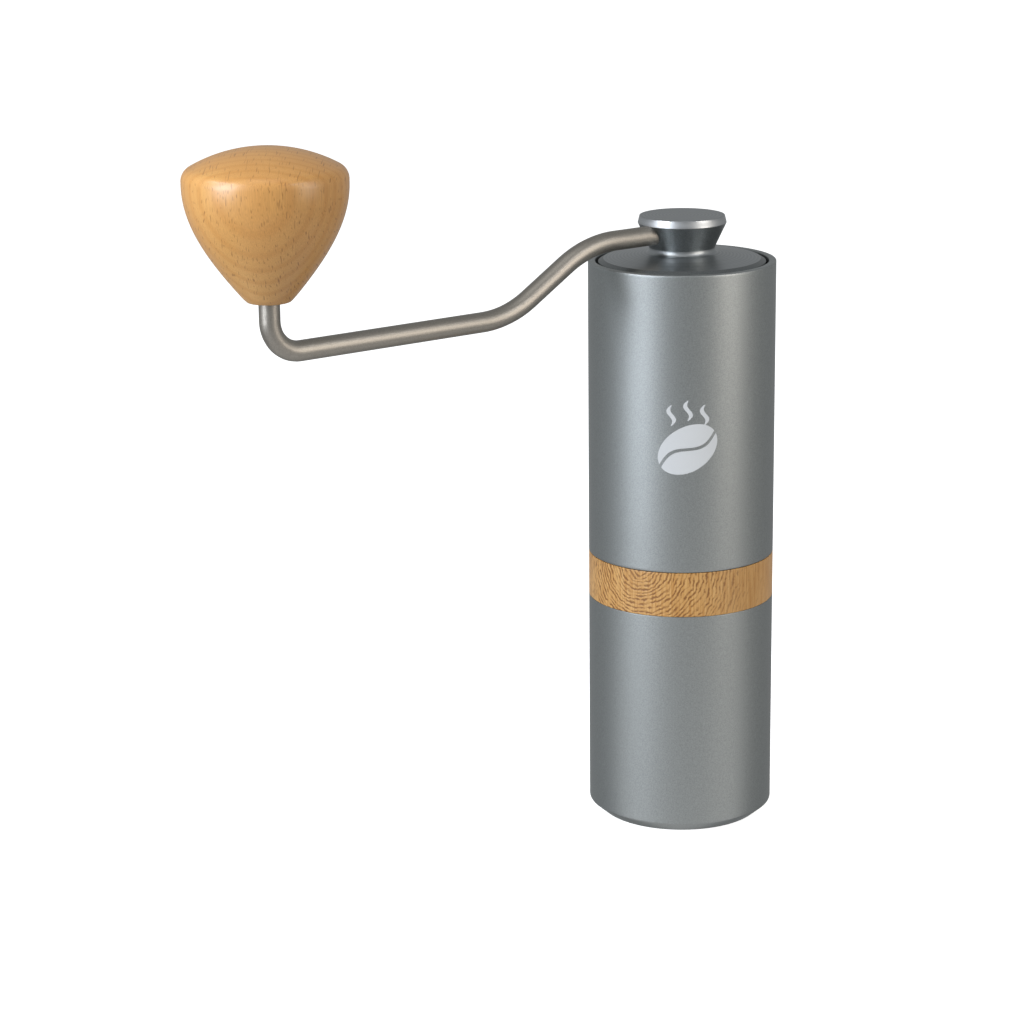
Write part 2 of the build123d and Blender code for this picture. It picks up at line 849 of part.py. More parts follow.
grub_top_z = hub_z - rod_r - press_gap
with BuildPart() as grub:
    with BuildSketch(Plane.XY.offset(grub_top_z)):
        with Locations((-grub_radius, 0)):
            Circle(grub_dia / 2)
    extrude(amount=-grub_length)
    with BuildSketch(Plane.XY.offset(grub_top_z - grub_length)):
        with Locations((-grub_radius, 0)):
            RegularPolygon(grub_hex / 2, 6, major_radius=False)
    extrude(amount=grub_hex, mode=Mode.SUBTRACT)
grub.part.label = "rod_grub_screw"
export_step(grub.part, "parts/rod_grub_screw.step")

with BuildPart() as glide:
    with BuildSketch(section):
        ring_section(
            spigot_r + slip_gap,
            rim_bore_r - free_gap,
            lid_foot_z - slip_gap - glide_ring_height,
            lid_foot_z - slip_gap,
        )
    revolve(axis=Axis.Z)
glide.part.label = "lid_glide_ring"
export_step(glide.part, "parts/lid_glide_ring.step")

# ------------------------------------------------------------------ crank arm

with BuildPart() as rod:
    with BuildLine(section) as route:
        FilletPolyline(
            (rod_depth_past_axis, hub_z),
            (-rod_bend_start, hub_z),
            (-rod_bend_end, low_run_z),
            (-arm_reach, low_run_z),
            (-arm_reach, rod_top_z),
            radius=(hub_bend_radius, low_bend_radius, upright_bend_radius),
        )
    with BuildSketch(Plane(origin=route.line @ 0, z_dir=route.line % 0)):
        Circle(rod_r)
    sweep()
    chamfer(rod.edges().group_by(Axis.Z)[-1], tip_chamfer)
    with BuildSketch(Plane(origin=(-arm_reach, 0, rod_clip_z))):
        Circle(rod_r + cut_margin)
        Circle(rod_r - rod_clip_groove, mode=Mode.SUBTRACT)
    extrude(amount=rod_clip_thickness, mode=Mode.SUBTRACT)
rod.part.label = "crank_rod"
export_step(rod.part, "parts/crank_rod.step")

# ------------------------------------------------------------------ knob

# The flank is one smooth curve from the base to the belly, the shoulder is a fillet, and the
# top is part of a sphere.
dome_z = knob_top_z - knob_dome_radius
shoulder_z = dome_z + sqrt(knob_dome_radius**2 - knob_r**2)
dome_middle = asin(knob_r / knob_dome_radius) / 2
flank_height = belly_z - knob_z
flare_r = knob_base_dia / 2 + knob_base_flare
flank_points = [
    (radius_share * knob_r, knob_z + height_share * flank_height)
    for radius_share, height_share in knob_flank
]
with BuildPart() as knob:
    with BuildSketch(knob_section) as knob_sketch:
        with BuildLine():
            Line((0, knob_z), (knob_base_dia / 2, knob_z))
            Line((knob_base_dia / 2, knob_z), (flare_r, knob_z + knob_base_flare))
            Spline(
                (flare_r, knob_z + knob_base_flare),
                *flank_points,
                (knob_r, belly_z),
                tangents=((1, knob_flank_slope), (0, 1)),
            )
            Line((knob_r, belly_z), (knob_r, shoulder_z))
            ThreePointArc(
                (knob_r, shoulder_z),
                (
                    knob_dome_radius * sin(dome_middle),
                    dome_z + knob_dome_radius * cos(dome_middle),
                ),
                (0, knob_top_z),
            )
            Line((0, knob_top_z), (0, knob_z))
        make_face()
        corner = knob_sketch.vertices().sort_by_distance((knob_r, shoulder_z))[0]
        fillet(corner, knob_shoulder_fillet)
    revolve(axis=knob_axis)
    with BuildSketch(Plane(origin=(-arm_reach, 0, knob_z))):
        Circle(bush_r + press_gap)
    extrude(amount=disc_z + thrust_disc_thickness - knob_z, mode=Mode.SUBTRACT)
knob.part.label = "wood_knob"
export_step(knob.part, "parts/wood_knob.step")

with BuildPart() as bush:
    with BuildSketch(Plane(origin=(-arm_reach, 0, bush_z))):
        Circle(bush_r)
        Circle(rod_r + slip_gap, mode=Mode.SUBTRACT)
    extrude(amount=bush_length)
bush.part.label = "knob_bush"
export_step(bush.part, "parts/knob_bush.step")

with BuildPart() as rod_clip:
    with BuildSketch(Plane(origin=(-arm_reach, 0, rod_clip_z))):
        open_ring(rod_r - rod_clip_groove + press_gap, rod_r + rod_clip_wall, circlip_gap)
    extrude(amount=rod_clip_thickness)
rod_clip.part.label = "knob_snap_ring"
export_step(rod_clip.part, "parts/knob_snap_ring.step")

with BuildPart() as thrust_disc:
    with BuildSketch(Plane(origin=(-arm_reach, 0, disc_z))):
        Circle(bush_r)
    extrude(amount=thrust_disc_thickness)
thrust_disc.part.label = "knob_thrust_disc"
export_step(thrust_disc.part, "parts/knob_thrust_disc.step")
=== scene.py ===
"""Hand crank coffee grinder: looks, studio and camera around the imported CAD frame.

Sizes are in millimetres in the dataclass fields and are turned to metres where a mesh is made.
Heights come from the frame's nodes, so a piece stands where its CAD node stands.
"""

import logging
import math
from collections.abc import Callable
from dataclasses import dataclass, field
from enum import Enum
from functools import partial

import bpy
from mathutils import Matrix, Vector


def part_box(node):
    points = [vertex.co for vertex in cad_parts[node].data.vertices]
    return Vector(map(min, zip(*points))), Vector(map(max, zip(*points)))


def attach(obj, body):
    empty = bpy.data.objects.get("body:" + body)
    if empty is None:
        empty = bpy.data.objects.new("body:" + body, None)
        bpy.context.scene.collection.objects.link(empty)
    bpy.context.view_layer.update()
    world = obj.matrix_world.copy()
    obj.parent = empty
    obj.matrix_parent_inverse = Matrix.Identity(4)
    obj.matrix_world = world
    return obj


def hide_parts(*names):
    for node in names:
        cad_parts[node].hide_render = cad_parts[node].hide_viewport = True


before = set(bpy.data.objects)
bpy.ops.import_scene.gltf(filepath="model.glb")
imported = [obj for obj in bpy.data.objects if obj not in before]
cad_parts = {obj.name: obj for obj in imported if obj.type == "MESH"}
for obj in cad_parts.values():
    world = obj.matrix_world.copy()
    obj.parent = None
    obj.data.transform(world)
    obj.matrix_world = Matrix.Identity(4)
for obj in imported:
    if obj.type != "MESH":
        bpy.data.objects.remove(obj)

LOG = logging.getLogger("grinder")
MM = 0.001
# A wave texture of scale 1 repeats its rings every pi/10 of a unit.
WAVE_STEP = math.pi / 10
# Direction in degrees, and distance, from the knob to the middle of the tree it was cut from.
HEART_SIDE = 50.0
HEART_AWAY = 70 * MM
# Direction of the wood band's figure, and its height above the band's upper edge.
FIGURE_SIDE = -156.0
FIGURE_RISE = 1.5 * MM
# Facets round a turned piece and across a rounded edge, and the least angle of a sharp edge.
TURN_STEPS = 192
BEVEL_STEPS = 3
SHARP_EDGE = math.radians(20)
# Points of a turned or bent piece that lie closer than this, in millimetres, are one.
SEAM_GAP = 0.002

Profile = list[tuple[float, float]]
Colour = tuple[float, float, float, float]
Tree = bpy.types.NodeTree
Socket = bpy.types.NodeSocket
Piece = bpy.types.Object
Finish = bpy.types.Material


# ---------------------------------------------------------------- colour and node helpers


def linear(code: str) -> Colour:
    """Turns an sRGB hex colour to linear light.

    Args:
        code: Colour as "#RRGGBB".

    Returns:
        Linear red, green, blue and an alpha of 1.
    """
    channels = [int(code[i:i + 2], 16) / 255 for i in (1, 3, 5)]
    red, green, blue = (
        c / 12.92 if c <= 0.04045 else ((c + 0.055) / 1.055) ** 2.4 for c in channels
    )
    return (red, green, blue, 1.0)


def add_node(tree: Tree, kind: str, inputs: dict | None = None, **settings) -> bpy.types.Node:
    """Adds one node, sets its properties, and sets or links its inputs.

    Args:
        tree: Node tree that the node goes into.
        kind: Blender's name of the node type, without ShaderNode in front.
        inputs: Input name or number to a value, or to an output socket to link from.
        **settings: Properties of the node itself.

    Returns:
        The new node.
    """
    node = tree.nodes.new(f"ShaderNode{kind}")
    for name, value in settings.items():
        setattr(node, name, value)
    for name, value in (inputs or {}).items():
        if isinstance(value, Socket):
            tree.links.new(value, node.inputs[name])
        else:
            node.inputs[name].default_value = value
    return node


def start_material(name: str, roughness: float, metallic: float = 0.0) -> tuple:
    """Starts a material with its shader and output joined.

    Args:
        name: Name of the material.
        roughness: Roughness of the shader.
        metallic: 1 on bare metal and 0 elsewhere.

    Returns:
        The material, its node tree and the Principled shader node.
    """
    material = bpy.data.materials.new(name)
    material.use_nodes = True
    tree = material.node_tree
    tree.nodes.clear()
    shader = add_node(tree, "BsdfPrincipled", {"Roughness": roughness, "Metallic": metallic})
    add_node(tree, "OutputMaterial", {"Surface": shader.outputs["BSDF"]})
    return material, tree, shader


def object_place(
    tree: Tree, centre: Vector = Vector(), size: tuple = (1, 1, 1), spin: float = 0.0
) -> Socket:
    """Gives object coordinates measured from a centre, in steps of a pattern's own size.

    Args:
        tree: Node tree of the material.
        centre: Point in metres that becomes the origin.
        size: Metres that become one unit along each turned axis.
        spin: Turn of the axes about Z, in degrees.

    Returns:
        The vector output.
    """
    place = add_node(tree, "TexCoord").outputs["Object"]
    turned = (0.0, 0.0, math.radians(spin))
    mapped = add_node(
        tree,
        "Mapping",
        {"Vector": place, "Location": centre, "Rotation": turned, "Scale": size},
        vector_type="TEXTURE",
    )
    return mapped.outputs[0]


def ramp(tree: Tree, factor: Socket, *stops: tuple[float, Colour]) -> Socket:
    """Maps a factor to a colour.

    Args:
        tree: Node tree of the material.
        factor: Value between 0 and 1.
        *stops: Position and colour of each stop, in rising order.

    Returns:
        The colour output.
    """
    node = add_node(tree, "ValToRGB", {"Fac": factor})
    elements = node.color_ramp.elements
    for position, _ in stops[2:]:
        elements.new(position)
    for element, (position, colour) in zip(elements, stops):
        element.position = position
        element.color = colour
    return node.outputs["Color"]


def grey(value: float) -> Colour:
    """Neutral linear colour of one value."""
    return (value, value, value, 1.0)


def lit(colour: Colour, factor: float) -> Colour:
    """Colour made darker or lighter by a factor, at most full light."""
    return tuple(min(1.0, channel * factor) for channel in colour[:3]) + (1.0,)


def metres(sizes: tuple[float, ...]) -> tuple[float, ...]:
    """Sizes in millimetres turned to metres."""
    return tuple(size * MM for size in sizes)


# ---------------------------------------------------------------- finishes


@dataclass(frozen=True)
class BlastedAnodise:
    """Bead-blasted and anodised aluminium: a satin metal with a fine glassy sparkle, and painted
    shade in the grain's hollows and painted highlight on its crests.
    """

    name: str
    colour: str
    roughness: float = 0.42
    # Blasting craters are about 0.05 mm; drawn at 0.3 mm, because finer ones don't show.
    grain_mm: float = 0.3
    grain_depth_mm: float = 0.018
    # Share by which the colour is darkened in the grain's hollows and lightened on its crests:
    # painted shade and painted highlight.
    tone: float = 0.1

    def build(self) -> Finish:
        """Makes the material."""
        material, tree, shader = start_material(self.name, self.roughness, 1.0)
        grain = add_node(
            tree,
            "TexNoise",
            {"Vector": object_place(tree), "Scale": 1 / (self.grain_mm * MM), "Detail": 2.0},
        ).outputs["Fac"]
        base = linear(self.colour)
        # The noise that makes the bump also sets the colour. Where the grain is low the metal is
        # darker, which is painted shade in the hollows. Where it is high the metal is lighter,
        # which is painted highlight on the crests.
        painted_shade_colour, painted_highlight_colour = lit(base, 1 - self.tone), lit(base, 1 + self.tone)
        colour = ramp(tree, grain, (0.35, painted_shade_colour), (0.65, painted_highlight_colour))
        tree.links.new(colour, shader.inputs["Base Color"])
        bump = add_node(
            tree, "Bump", {"Height": grain, "Strength": 1.0, "Distance": self.grain_depth_mm * MM}
        )
        tree.links.new(bump.outputs["Normal"], shader.inputs["Normal"])
        return material


@dataclass(frozen=True)
class TurnedMetal:
    """Metal left from the lathe: fine rings about a vertical axis catch the light."""

    name: str
    colour: str
    roughness: float = 0.3
    # Feed marks are about 0.1 mm apart; drawn coarser, because real ones don't show.
    ring_mm: float = 0.5
    ring_depth_mm: float = 0.004

    def build(self) -> Finish:
        """Makes the material."""
        material, tree, shader = start_material(self.name, self.roughness, 1.0)
        shader.inputs["Base Color"].default_value = linear(self.colour)
        rings = add_node(
            tree,
            "TexWave",
            {
                "Vector": object_place(tree),
                "Scale": WAVE_STEP / (self.ring_mm * MM),
                "Distortion": 0.6,
                "Detail": 2.0,
            },
            wave_type="RINGS",
            rings_direction="Z",
        ).outputs["Fac"]
        smoothest, roughest = self.roughness * 0.85, self.roughness * 1.15
        rough = add_node(
            tree, "MapRange", {"Value": rings, "To Min": smoothest, "To Max": roughest}
        )
        tree.links.new(rough.outputs["Result"], shader.inputs["Roughness"])
        bump = add_node(
            tree, "Bump", {"Height": rings, "Strength": 1.0, "Distance": self.ring_depth_mm * MM}
        )
        tree.links.new(bump.outputs["Normal"], shader.inputs["Normal"])
        return material


@dataclass(frozen=True)
class BlackenedSteel:
    """Spring steel with a black oxide coat: nearly black, with a dull sheen."""

    name: str
    colour: str = "#2B2B2D"
    roughness: float = 0.4
    mottle_mm: float = 0.6

    def build(self) -> Finish:
        """Makes the material."""
        material, tree, shader = start_material(self.name, self.roughness, 1.0)
        mottle = add_node(
            tree,
            "TexNoise",
            {"Vector": object_place(tree), "Scale": 1 / (self.mottle_mm * MM), "Detail": 3.0},
        )
        base = linear(self.colour)
        colour = ramp(tree, mottle.outputs["Fac"], (0.45, base), (0.8, lit(base, 2.0)))
        tree.links.new(colour, shader.inputs["Base Color"])
        return material


@dataclass(frozen=True)
class MouldedPolymer:
    """Moulded plastic, rubber or a laser-etched face: no metal sheen and a faint texture."""

    name: str
    colour: str
    roughness: float = 0.5
    texture_mm: float = 0.3
    texture_depth_mm: float = 0.02

    def build(self) -> Finish:
        """Makes the material."""
        material, tree, shader = start_material(self.name, self.roughness)
        shader.inputs["Base Color"].default_value = linear(self.colour)
        texture = add_node(
            tree,
            "TexNoise",
            {"Vector": object_place(tree), "Scale": 1 / (self.texture_mm * MM), "Detail": 3.0},
        ).outputs["Fac"]
        bump = add_node(
            tree,
            "Bump",
            {"Height": texture, "Strength": 0.4, "Distance": self.texture_depth_mm * MM},
        )
        tree.links.new(bump.outputs["Normal"], shader.inputs["Normal"])
        return material


@dataclass(frozen=True)
class LacqueredBeech:
    """Turned beech under satin lacquer: soft growth rings and short dark ray flecks."""

    name: str
    # Middle of the tree's rings in metres, and the direction its rays run in, in degrees.
    heart: Vector
    ray_side: float
    light: str = "#D2A05C"
    dark: str = "#BA8343"
    ring: str = "#C8934F"
    fleck: str = "#8A5C2C"
    ring_mm: float = 2.4
    # Soft darker clouds per metre across the grain, and how much longer they are along it.
    cloud_scale: float = 90.0
    cloud_stretch: float = 3.0
    fibre_mm: tuple[float, float, float] = (0.18, 0.18, 6.0)
    fibre_depth_mm: float = 0.02
    # Length outwards, width and height of a ray, drawn twice as wide as real ones to show.
    fleck_mm: tuple[float, float, float] = (4.0, 0.3, 1.3)
    roughness: float = 0.42
    coat: float = 0.5
    coat_roughness: float = 0.24

    def build(self) -> Finish:
        """Makes the material."""
        material, tree, shader = start_material(self.name, self.roughness)
        rings = add_node(
            tree,
            "TexWave",
            {
                "Vector": object_place(tree, self.heart),
                "Scale": WAVE_STEP / (self.ring_mm * MM),
                "Distortion": 2.2,
                "Detail": 2.0,
                "Detail Scale": 0.25,
            },
            wave_type="RINGS",
            rings_direction="Z",
        )
        light, ring = linear(self.light), linear(self.ring)
        growth = ramp(tree, rings.outputs["Fac"], (0.45, light), (1.0, ring))
        tall_place = object_place(tree, size=(1, 1, self.cloud_stretch))
        cloud = add_node(
            tree, "TexNoise", {"Vector": tall_place, "Scale": self.cloud_scale, "Detail": 4.0}
        )
        clouded = add_node(
            tree,
            "Mix",
            {"Factor": cloud.outputs["Fac"], 6: growth, 7: linear(self.dark)},
            data_type="RGBA",
        )
        fibre_place = object_place(tree, size=metres(self.fibre_mm))
        fibre = add_node(
            tree, "TexNoise", {"Vector": fibre_place, "Scale": 1.0, "Detail": 3.0}
        ).outputs["Fac"]
        fibre_tone = ramp(tree, fibre, (0.3, grey(0.86)), (0.7, grey(1.06)))
        fibred = add_node(
            tree,
            "Mix",
            {"Factor": 1.0, 6: clouded.outputs[2], 7: fibre_tone},
            data_type="RGBA",
            blend_type="MULTIPLY",
        )
        # Rays are thin ribbons that run outwards from the heart, so a face across them shows ticks.
        ray_place = object_place(tree, size=metres(self.fleck_mm), spin=self.ray_side)
        flecks = add_node(tree, "TexNoise", {"Vector": ray_place, "Scale": 1.0, "Detail": 0.0})
        fleck_mask = ramp(tree, flecks.outputs["Fac"], (0.68, grey(0.0)), (0.78, grey(0.7)))
        flecked = add_node(
            tree,
            "Mix",
            {"Factor": fleck_mask, 6: fibred.outputs[2], 7: linear(self.fleck)},
            data_type="RGBA",
        )
        tree.links.new(flecked.outputs[2], shader.inputs["Base Color"])
        bump = add_node(
            tree, "Bump", {"Height": fibre, "Strength": 0.25, "Distance": self.fibre_depth_mm * MM}
        )
        tree.links.new(bump.outputs["Normal"], shader.inputs["Normal"])
        shader.inputs["Coat Weight"].default_value = self.coat
        shader.inputs["Coat Roughness"].default_value = self.coat_roughness
        return material


@dataclass(frozen=True)
class FiguredWood:
    """Wood band with a cathedral figure: arcs round one point that straighten away from it."""

    name: str
    # Point on the band's face that the arcs run round.
    figure: Vector
    light: str = "#CFA366"
    dark: str = "#845829"
    base: str = "#B27F40"
    arc_mm: float = 1.0
    # How far the arcs stray, and the width of one stray.
    wander_mm: float = 3.2
    stray_mm: float = 5.0
    # Waver of the arcs' edges near the figure's point and where they are boldest.
    waver: tuple[float, float] = (3.2, 1.0)
    waver_mm: float = 5.0
    break_mm: float = 1.5
    # The arcs are boldest up to the first distance from the figure's point and fade to the second.
    figure_mm: tuple[float, float] = (16.0, 30.0)
    fibre_mm: tuple[float, float, float] = (0.4, 0.4, 9.0)
    groove_depth_mm: float = 0.05
    roughness: float = 0.42
    coat: float = 0.25
    coat_roughness: float = 0.3

    def build(self) -> Finish:
        """Makes the material."""
        material, tree, shader = start_material(self.name, self.roughness)
        place = object_place(tree, self.figure)
        wander = add_node(
            tree,
            "TexNoise",
            {"Vector": place, "Scale": 1 / (self.stray_mm * MM), "Detail": 3.0, "Roughness": 0.6},
        )
        shift = add_node(
            tree,
            "VectorMath",
            {0: wander.outputs["Color"], 1: (0.5, 0.5, 0.5)},
            operation="SUBTRACT",
        )
        drift = add_node(
            tree,
            "VectorMath",
            {0: shift.outputs[0], "Scale": self.wander_mm * MM},
            operation="SCALE",
        )
        bent = add_node(tree, "VectorMath", {0: place, 1: drift.outputs[0]}, operation="ADD")
        length = add_node(tree, "VectorMath", {0: place}, operation="LENGTH")
        reach = length.outputs["Value"]
        bold, faint = metres(self.figure_mm)
        waver = add_node(
            tree,
            "MapRange",
            {
                "Value": reach,
                "From Min": self.waver_mm * MM,
                "From Max": bold,
                "To Min": self.waver[0],
                "To Max": self.waver[1],
            },
        )
        arcs = add_node(
            tree,
            "TexWave",
            {
                "Vector": bent.outputs[0],
                "Scale": WAVE_STEP / (self.arc_mm * MM),
                "Distortion": waver.outputs["Result"],
                "Detail": 3.0,
                "Detail Scale": 1.4,
                "Detail Roughness": 0.7,
            },
            wave_type="RINGS",
            rings_direction="SPHERICAL",
        )
        breaks = add_node(
            tree, "TexNoise", {"Vector": place, "Scale": 1 / (self.break_mm * MM), "Detail": 2.0}
        )
        broken = add_node(
            tree,
            "MapRange",
            {"Value": breaks.outputs["Fac"], "From Min": 0.36, "From Max": 0.6, "To Min": 0.4},
        )
        line = add_node(
            tree,
            "Math",
            {0: arcs.outputs["Fac"], 1: broken.outputs["Result"]},
            operation="MULTIPLY",
        )
        fade = add_node(
            tree,
            "MapRange",
            {"Value": reach, "From Min": bold, "From Max": faint, "To Min": 1.0, "To Max": 0.4},
        )
        faded = add_node(
            tree, "Math", {0: line.outputs[0], 1: fade.outputs["Result"]}, operation="MULTIPLY"
        ).outputs[0]
        fibre_place = object_place(tree, size=metres(self.fibre_mm))
        fibre = add_node(tree, "TexNoise", {"Vector": fibre_place, "Scale": 1.0, "Detail": 3.0})
        base, light = linear(self.base), linear(self.light)
        streaks = ramp(tree, fibre.outputs["Fac"], (0.3, base), (0.7, light))
        lined = ramp(tree, faded, (0.25, grey(0.0)), (0.8, grey(1.0)))
        grain = add_node(
            tree, "Mix", {"Factor": lined, 6: streaks, 7: linear(self.dark)}, data_type="RGBA"
        )
        tree.links.new(grain.outputs[2], shader.inputs["Base Color"])
        bump = add_node(
            tree,
            "Bump",
            {"Height": faded, "Strength": 0.5, "Distance": self.groove_depth_mm * MM},
            invert=True,
        )
        tree.links.new(bump.outputs["Normal"], shader.inputs["Normal"])
        shader.inputs["Coat Weight"].default_value = self.coat
        shader.inputs["Coat Roughness"].default_value = self.coat_roughness
        return material


# ---------------------------------------------------------------- modelling helpers


def clear_selection() -> None:
    """Deselects every object."""
    bpy.ops.object.select_all(action="DESELECT")


def close_seams(gap: float) -> None:
    """Joins the active piece's points within a gap in millimetres and faces it outwards."""
    bpy.ops.object.mode_set(mode="EDIT")
    bpy.ops.mesh.select_all(action="SELECT")
    bpy.ops.mesh.remove_doubles(threshold=gap * MM)
    bpy.ops.mesh.normals_make_consistent(inside=False)
    bpy.ops.object.mode_set(mode="OBJECT")


def draw_line(name: str, points: list, closed: bool = False) -> Piece:
    """Draws straight runs through points.

    Args:
        name: Name of the curve.
        points: Places in metres.
        closed: True joins the last point to the first.

    Returns:
        The curve.
    """
    clear_selection()
    bpy.ops.curve.primitive_bezier_curve_add()
    curve = bpy.context.object
    curve.name = name
    curve.data.splines.clear()
    spline = curve.data.splines.new("POLY")
    spline.points.add(len(points) - 1)
    for point, place in zip(spline.points, points):
        point.co = (*place, 1.0)
    spline.use_cyclic_u = closed
    return curve


def arc_points(
    centre: tuple[float, float], radius: float, start: float, end: float, steps: int
) -> Profile:
    """Points of an arc in (radius, height), from one angle to another.

    Args:
        centre: Centre of the arc.
        radius: Radius of the arc.
        start: First angle in degrees, 0 pointing outwards and 90 up.
        end: Last angle in degrees.
        steps: Number of equal steps.

    Returns:
        The points, both ends included.
    """
    angles = [math.radians(start + (end - start) * i / steps) for i in range(steps + 1)]
    return [(centre[0] + radius * math.cos(a), centre[1] + radius * math.sin(a)) for a in angles]


def supported(profile: Profile, closed: bool, gap: float) -> Profile:
    """Adds a point near both ends of each long straight run, so that it shades flat.

    Args:
        profile: Points as (radius, height) in millimetres.
        closed: True where the last point joins the first.
        gap: Distance of the added points from the ends, in millimetres.

    Returns:
        The profile with the added points.
    """
    points: Profile = []
    ends = profile[1:] + profile[:1] if closed else profile[1:]
    for start, end in zip(profile, ends):
        points.append(start)
        length = math.dist(start, end)
        if length > 6 * gap:
            for share in (gap / length, 1 - gap / length):
                points.append(tuple(a + (b - a) * share for a, b in zip(start, end)))
    return points if closed else points + [profile[-1]]


def turn(
    name: str, profile: Profile, axis_x: float = 0.0, closed: bool = False, bevel: float = 0.0
) -> Piece:
    """Turns a profile about a vertical axis, as on a lathe.

    Args:
        name: Name of the piece.
        profile: Points as (radius, height) in millimetres. Radius 0 is a pole.
        axis_x: X of the axis in millimetres.
        closed: True joins the last point to the first, for a ring.
        bevel: Width in millimetres of the rounding of sharp edges, or 0.

    Returns:
        The finished piece.
    """
    profile = supported(profile, closed, max(2.5 * bevel, 0.2))
    points = [((axis_x + radius) * MM, 0.0, height * MM) for radius, height in profile]
    draw_line(name, points, closed)
    bpy.ops.object.convert(target="MESH")
    piece = bpy.context.object
    bpy.ops.object.mode_set(mode="EDIT")
    bpy.ops.mesh.select_all(action="SELECT")
    bpy.ops.mesh.spin(
        steps=TURN_STEPS, angle=math.tau, center=(axis_x * MM, 0.0, 0.0), axis=(0.0, 0.0, 1.0)
    )
    bpy.ops.object.mode_set(mode="OBJECT")
    close_seams(SEAM_GAP)
    if bevel:
        round_edges(piece, bevel)
    smooth(piece)
    return piece


def round_edges(piece: Piece, width: float) -> None:
    """Rounds the sharp edges of a piece with an applied bevel.

    Args:
        piece: Piece to round.
        width: Width of the rounding in millimetres.
    """
    bevel = piece.modifiers.new("edge_rounding", "BEVEL")
    bevel.width = width * MM
    bevel.segments = BEVEL_STEPS
    bevel.limit_method = "ANGLE"
    bevel.angle_limit = SHARP_EDGE
    bevel.use_clamp_overlap = True
    bpy.context.view_layer.objects.active = piece
    bpy.ops.object.modifier_apply(modifier=bevel.name)


def smooth(piece: Piece, angle: float = 32.0) -> None:
    """Shades a piece smooth, with creases where faces meet past an angle in degrees."""
    clear_selection()
    piece.select_set(True)
    bpy.context.view_layer.objects.active = piece
    bpy.ops.object.shade_smooth_by_angle(angle=math.radians(angle))


def dress(piece: Piece, *materials: Finish) -> None:
    """Gives a piece its materials, the first of them on every face."""
    piece.data.materials.clear()
    for material in materials:
        piece.data.materials.append(material)


def place_piece(piece: Piece, body: str, slot: str, *nodes: str) -> None:
    """Rides a piece on a body and hides the CAD nodes that it stands for.

    Args:
        piece: The finished piece.
        body: CAD body that it moves with.
        slot: Not used.
        *nodes: CAD nodes that it replaces.
    """
    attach(piece, body)
    if nodes:
        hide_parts(*nodes)
    LOG.info("%s: %d faces on %s", piece.name, len(piece.data.polygons), body)


def low_mm(node: str) -> float:
    """Height in millimetres of a CAD node's lowest point."""
    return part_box(node)[0].z / MM


def high_mm(node: str) -> float:
    """Height in millimetres of a CAD node's highest point."""
    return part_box(node)[1].z / MM


def radius_mm(node: str) -> float:
    """Outer radius in millimetres of a turned CAD node on the main axis."""
    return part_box(node)[1].x / MM


# ---------------------------------------------------------------- sub-assemblies


@dataclass
class GroundsCup:
    """Cup with its base chamfer and threaded neck, and the wood band round the neck."""

    metal: Finish
    wood: Finish
    chamfer_out: float = 3.15
    chamfer_up: float = 2.65
    chamfer_rounding: float = 0.6
    floor: float = 3.0
    wall: float = 2.6
    band_wall: float = 2.1
    neck_wall: float = 1.4
    neck_length: float = 14.0
    thread_depth: float = 0.5
    thread_pitch: float = 1.5
    thread_turns: int = 4
    thread_foot_drop: float = 7.9
    thread_flat: float = 0.02
    neck_gap: float = 0.2
    slip: float = 0.05
    floor_fillet: float = 2.5

    def build_cup(self) -> Piece:
        """Turns the cup."""
        outer = radius_mm("grounds_cup")
        band_foot = low_mm("wood_ring") - self.slip
        top = high_mm("grounds_cup")
        seam = top + self.neck_gap
        neck = outer - self.band_wall
        bore = neck - self.neck_wall
        cavity = outer - self.wall
        step = seam - self.neck_length
        profile: Profile = [(0.0, 0.0), (outer - self.chamfer_out, 0.0)]
        profile += self.chamfer_corner(outer)
        profile += [(outer, band_foot), (neck, band_foot), (neck, top), (bore, top)]
        foot = seam - self.thread_foot_drop
        for turn_number in reversed(range(self.thread_turns)):
            low = foot + turn_number * self.thread_pitch
            profile.append((bore, low + self.thread_pitch - self.thread_flat))
            profile.append((bore + self.thread_depth, low + self.thread_pitch / 2))
            profile.append((bore, low + self.thread_flat))
        fillet = self.floor_fillet
        corner = (cavity - fillet, self.floor + fillet)
        profile += [(bore, step), (cavity, step - (cavity - bore)), (cavity, corner[1])]
        profile += arc_points(corner, fillet, 0, -90, 10)
        profile.append((0.0, self.floor))
        return turn("cup_shell", profile, bevel=0.12)

    def chamfer_corner(self, outer: float) -> Profile:
        """Rounded corner where the base chamfer meets the wall.

        Args:
            outer: Outer radius of the cup.

        Returns:
            Points of the rounding, from the chamfer up to the wall.
        """
        slope = math.degrees(math.atan2(self.chamfer_out, self.chamfer_up))
        reach = self.chamfer_rounding * math.tan(math.radians(slope) / 2)
        centre = (outer - self.chamfer_rounding, self.chamfer_up + reach)
        return arc_points(centre, self.chamfer_rounding, -slope, 0, 6)

    def build_band(self) -> Piece:
        """Turns the wood band."""
        outer = radius_mm("wood_ring")
        inner = outer - self.band_wall + self.slip
        foot = low_mm("wood_ring")
        top = high_mm("wood_ring")
        profile = [(inner, foot), (outer, foot), (outer, top), (inner, top)]
        return turn("wood_band", profile, closed=True, bevel=0.1)

    def build(self) -> None:
        """Builds and places both pieces."""
        cup = self.build_cup()
        dress(cup, self.metal)
        place_piece(cup, "cup", "cup_aluminium", "grounds_cup")
        band = self.build_band()
        dress(band, self.wood)
        place_piece(band, "cup", "band_wood", "wood_ring")


